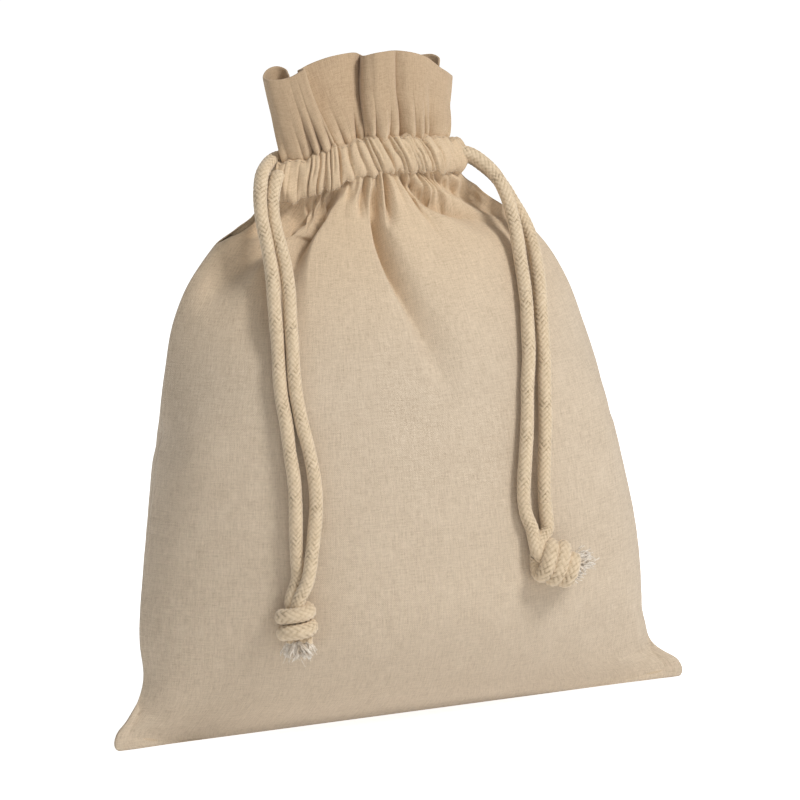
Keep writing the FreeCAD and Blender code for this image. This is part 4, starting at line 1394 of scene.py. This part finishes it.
def cloth_material():
    """Plain-weave melange cotton: threads both ways, slubs, flecks and soft patches."""
    base = (0.585, 0.480, 0.362)
    threads = 238.0                           # threads in one uv unit
    shader = Shader("melange_cotton")
    math_node = shader.math
    split = shader.node("ShaderNodeSeparateXYZ", {0: shader.uv()})
    u, v = split.outputs[0], split.outputs[1]

    def streaks(scale_u, scale_v, detail, seed, strength):
        vector = shader.node("ShaderNodeCombineXYZ", {
            0: math_node("MULTIPLY", u, scale_u), 1: math_node("MULTIPLY", v, scale_v), 2: seed})
        noise = shader.noise(vector.outputs[0], 1.0, detail, roughness=0.6)
        return shader.centred(noise, strength)

    # multiplies the colour by a tint above a height up the cloth; it paints light and shade there
    def painted_light_above(colour, start, end, tint):
        rise = shader.node("ShaderNodeMapRange", {"From Min": start, "From Max": end, "Value": v},
                           interpolation_type="SMOOTHSTEP")
        return shader.node("ShaderNodeMix", {0: rise.outputs[0], 6: colour, 7: (*tint, 1)},
                           data_type="RGBA", blend_type="MULTIPLY").outputs[2]

    weave = math_node("MULTIPLY", *(
        math_node("SINE", math_node("MULTIPLY", way, threads * math.pi)) for way in (u, v)))
    # scale along u, scale along v, detail, seed, strength
    warp = streaks(230.0, 26.0, 2.0, 1.0, 0.85)
    weft = streaks(24.0, 230.0, 2.0, 5.0, 0.70)
    slubs_up = streaks(110.0, 7.0, 1.0, 9.0, 0.40)
    slubs_across = streaks(7.0, 110.0, 1.0, 13.0, 0.30)
    flecks = streaks(170.0, 170.0, 1.0, 17.0, 0.55)
    patches = streaks(6.0, 6.0, 3.0, 21.0, 0.20)
    lines = math_node("ADD", math_node("ADD", warp, weft),
                      math_node("ADD", slubs_up, slubs_across))
    tone = math_node("ADD", lines, math_node("ADD", flecks, patches))
    tone = math_node("ADD", tone, math_node("MULTIPLY", weave, 0.05))
    tone = math_node("ADD", math_node("MULTIPLY", tone, 0.75), 0.5)
    colour = shader.ramp(tone, [(0.12, scaled(base, 0.68, 0.635, 0.60)), (0.5, base),
                                (0.88, scaled(base, 1.24, 1.27, 1.32))])
    # painted light and shade: the gathered end is painted warmer and brighter against the shade of
    # its creases, and the ruffle above the band is painted darker for the shade that falls on it
    colour = painted_light_above(colour, 1.5, 2.6, (1.11, 1.03, 0.91))
    colour = painted_light_above(colour, 2.67, 2.78, (0.77, 0.735, 0.71))
    height = math_node("ADD", math_node("MULTIPLY", weave, 0.55), math_node(
        "ADD", math_node("MULTIPLY", warp, 1.0), math_node("MULTIPLY", weft, 1.0)))
    return shader.finish(
        colour, math_node("ADD", 0.88, math_node("MULTIPLY", weave, 0.05)), height,
        bump_strength=0.42, bump_distance=0.00025, Sheen_Weight=0.25, Sheen_Roughness=0.6,
        Sheen_Tint=(1.0, 0.95, 0.88, 1), Specular_IOR_Level=0.2)


def cord_material():
    """Soft spun cotton yarn: fine fibre lines, with painted shade in the braid's grooves."""
    base = (0.68, 0.545, 0.375)
    shader = Shader("braided_cotton")
    math_node = shader.math
    braid = shader.node("ShaderNodeAttribute", attribute_name="braid").outputs["Fac"]
    place = shader.place()
    fine = shader.noise(place, scale=2600.0, detail=3.0)
    soft = shader.noise(place, scale=520.0, detail=2.0)
    wave = shader.wave(shader.uv(), scale=9.0, distortion=5.0)
    # painted light and shade: the braid height darkens the grooves and lightens the crowns
    tone = math_node("ADD", math_node("MULTIPLY", braid, 0.62),
                     math_node("MULTIPLY", fine, 0.42))
    tone = math_node("ADD", tone, shader.centred(soft, 0.62))
    tone = math_node("ADD", tone, shader.centred(wave, 0.08))
    colour = shader.ramp(tone, [(0.18, scaled(base, 0.50, 0.46, 0.42)),
                                (0.50, scaled(base, 0.90, 0.88, 0.86)),
                                (0.86, scaled(base, 1.12, 1.14, 1.20))])
    return shader.finish(
        colour, math_node("ADD", 0.84, math_node("MULTIPLY", fine, 0.12)),
        math_node("ADD", fine, math_node("MULTIPLY", wave, 0.4)),
        bump_strength=0.5, bump_distance=0.0003, Sheen_Weight=0.35, Sheen_Roughness=0.5,
        Specular_IOR_Level=0.2)


def fibre_material():
    shader = Shader("cotton_fibre")
    noise = shader.noise(shader.place(), scale=420.0, detail=3.0)
    colour = shader.ramp(noise, [(0.3, (0.56, 0.46, 0.345)), (0.62, (0.84, 0.775, 0.69))])
    roughness = shader.math("ADD", 0.75, shader.math("MULTIPLY", noise, 0.2))
    return shader.finish(colour, roughness, noise, bump_strength=0.4, bump_distance=0.0002,
                         Sheen_Weight=0.4)


def thread_material():
    base = (0.60, 0.47, 0.33)
    shader = Shader("sewing_thread")
    wave = shader.wave(shader.place(), scale=900.0, distortion=2.0)
    colour = shader.ramp(wave, [(0.2, scaled(base, 0.78, 0.78, 0.78)),
                                (0.8, scaled(base, 1.12, 1.12, 1.12))])
    roughness = shader.math("ADD", 0.62, shader.math("MULTIPLY", wave, 0.2))
    return shader.finish(colour, roughness, wave, bump_strength=0.4, bump_distance=0.0001)


cloth, cord, fibre, thread = cloth_material(), cord_material(), fibre_material(), thread_material()
for pieces, material, slot in ((cloth_pieces, cloth, "cotton_cloth"),
                               (cord_pieces, cord, "cotton_cord"),
                               (fray_pieces, fibre, "cotton_fibre"),
                               (thread_pieces, thread, "thread")):
    for ob in pieces:
        ob.data.materials.append(material)
for node in frame["nodes"].values():          # CAD pieces that still show
    if not node.hide_render:
        node.data.materials.clear()
        node.data.materials.append(thread)

# ---- stage: floor, world, lights, camera; metres -----------------------------------------
FLOOR_HALF, FLOOR_Z = 6.0, -0.0005
FLOOR_SEEN, FLOOR_GLOW = 0.80, 0.32           # glow to the camera, and to all other rays
AMBIENT = 0.33


def add_floor():
    shader = Shader("floor_paper")
    camera_ray = shader.node("ShaderNodeLightPath").outputs["Is Camera Ray"]
    glow = shader.node("ShaderNodeMapRange", {"To Min": FLOOR_GLOW, "To Max": FLOOR_SEEN,
                                              "Value": camera_ray})
    shader.fill(shader.surface, {
        "Base Color": (0.80, 0.80, 0.80, 1), "Roughness": 0.95, "Specular IOR Level": 0.0,
        "Emission Color": (1, 1, 1, 1), "Emission Strength": glow.outputs["Result"]})
    mesh = bpy.data.meshes.new("floor")
    corners = ((-1, -1), (1, -1), (1, 1), (-1, 1))
    mesh.from_pydata([(x * FLOOR_HALF, y * FLOOR_HALF, FLOOR_Z) for x, y in corners], [],
                     [(0, 1, 2, 3)])
    floor = bpy.data.objects.new("floor", mesh)
    mesh.materials.append(shader.material)
    scene.collection.objects.link(floor)


def add_world():
    """White to the camera, a dim warm glow to everything else."""
    world = bpy.data.worlds.new("studio")
    scene.world = world
    world.use_nodes = True
    nodes, link = world.node_tree.nodes, world.node_tree.links.new
    seen, glow = nodes["Background"], nodes.new("ShaderNodeBackground")
    for node, colour, strength in ((seen, (1.0, 1.0, 1.0, 1), 1.0),
                                   (glow, (1.0, 0.985, 0.96, 1), AMBIENT)):
        node.inputs[0].default_value = colour
        node.inputs[1].default_value = strength
    path, mix = nodes.new("ShaderNodeLightPath"), nodes.new("ShaderNodeMixShader")
    link(path.outputs["Is Camera Ray"], mix.inputs[0])
    link(glow.outputs[0], mix.inputs[1])
    link(seen.outputs[0], mix.inputs[2])
    link(mix.outputs[0], nodes["World Output"].inputs[0])


def area_light(name, location, target, size, energy, colour):
    light = bpy.data.lights.new(name, "AREA")
    light.shape = "SQUARE"
    light.size, light.energy, light.color = size, energy, colour
    ob = bpy.data.objects.new(name, light)
    ob.location = location
    ob.rotation_mode = "QUATERNION"
    ob.rotation_quaternion = (Vector(target) - Vector(location)).to_track_quat("-Z", "Y")
    scene.collection.objects.link(ob)


def add_camera():
    """Stands to the left of the front, a little above, rolled so that the pouch leans left."""
    turn, elevation, roll = math.radians(19.0), math.radians(8.2), math.radians(3.9)
    distance = 2.6
    view_width = 324.543611 * MM              # at the pouch
    aim_right, aim_up = -1.217039 * MM, 127.180527 * MM   # from the origin, across the view
    back = Vector((-math.sin(turn) * math.cos(elevation), -math.cos(turn) * math.cos(elevation),
                   math.sin(elevation)))
    level_right = Vector((math.cos(turn), -math.sin(turn), 0.0))
    level_up = back.cross(level_right)
    right = level_right * math.cos(roll) - level_up * math.sin(roll)
    up = level_up * math.cos(roll) + level_right * math.sin(roll)
    camera = bpy.data.cameras.new("camera")
    ob = bpy.data.objects.new("camera", camera)
    scene.collection.objects.link(ob)
    ob.location = right * aim_right + up * aim_up + back * distance
    ob.rotation_mode = "QUATERNION"
    ob.rotation_quaternion = Matrix((right, up, back)).transposed().to_quaternion()
    camera.sensor_width = 36.0
    camera.lens = camera.sensor_width * distance / view_width
    camera.clip_start, camera.clip_end = 0.05, 50.0
    scene.camera = ob


add_floor()
add_world()
area_light("key", location=(0.63, -1.04, 1.12), target=(0, 0, 0.13), size=0.36, energy=15.6,
           colour=(1.0, 0.99, 0.97))
area_light("fill", location=(-0.5, -1.5, 0.6), target=(0, 0, 0.12), size=0.9, energy=1.6,
           colour=(1.0, 0.99, 0.98))
area_light("back", location=(-0.3, 1.2, 0.9), target=(0, 0, 0.15), size=0.8, energy=4.0,
           colour=(1, 1, 1))
add_camera()
scene.view_settings.view_transform = "Standard"
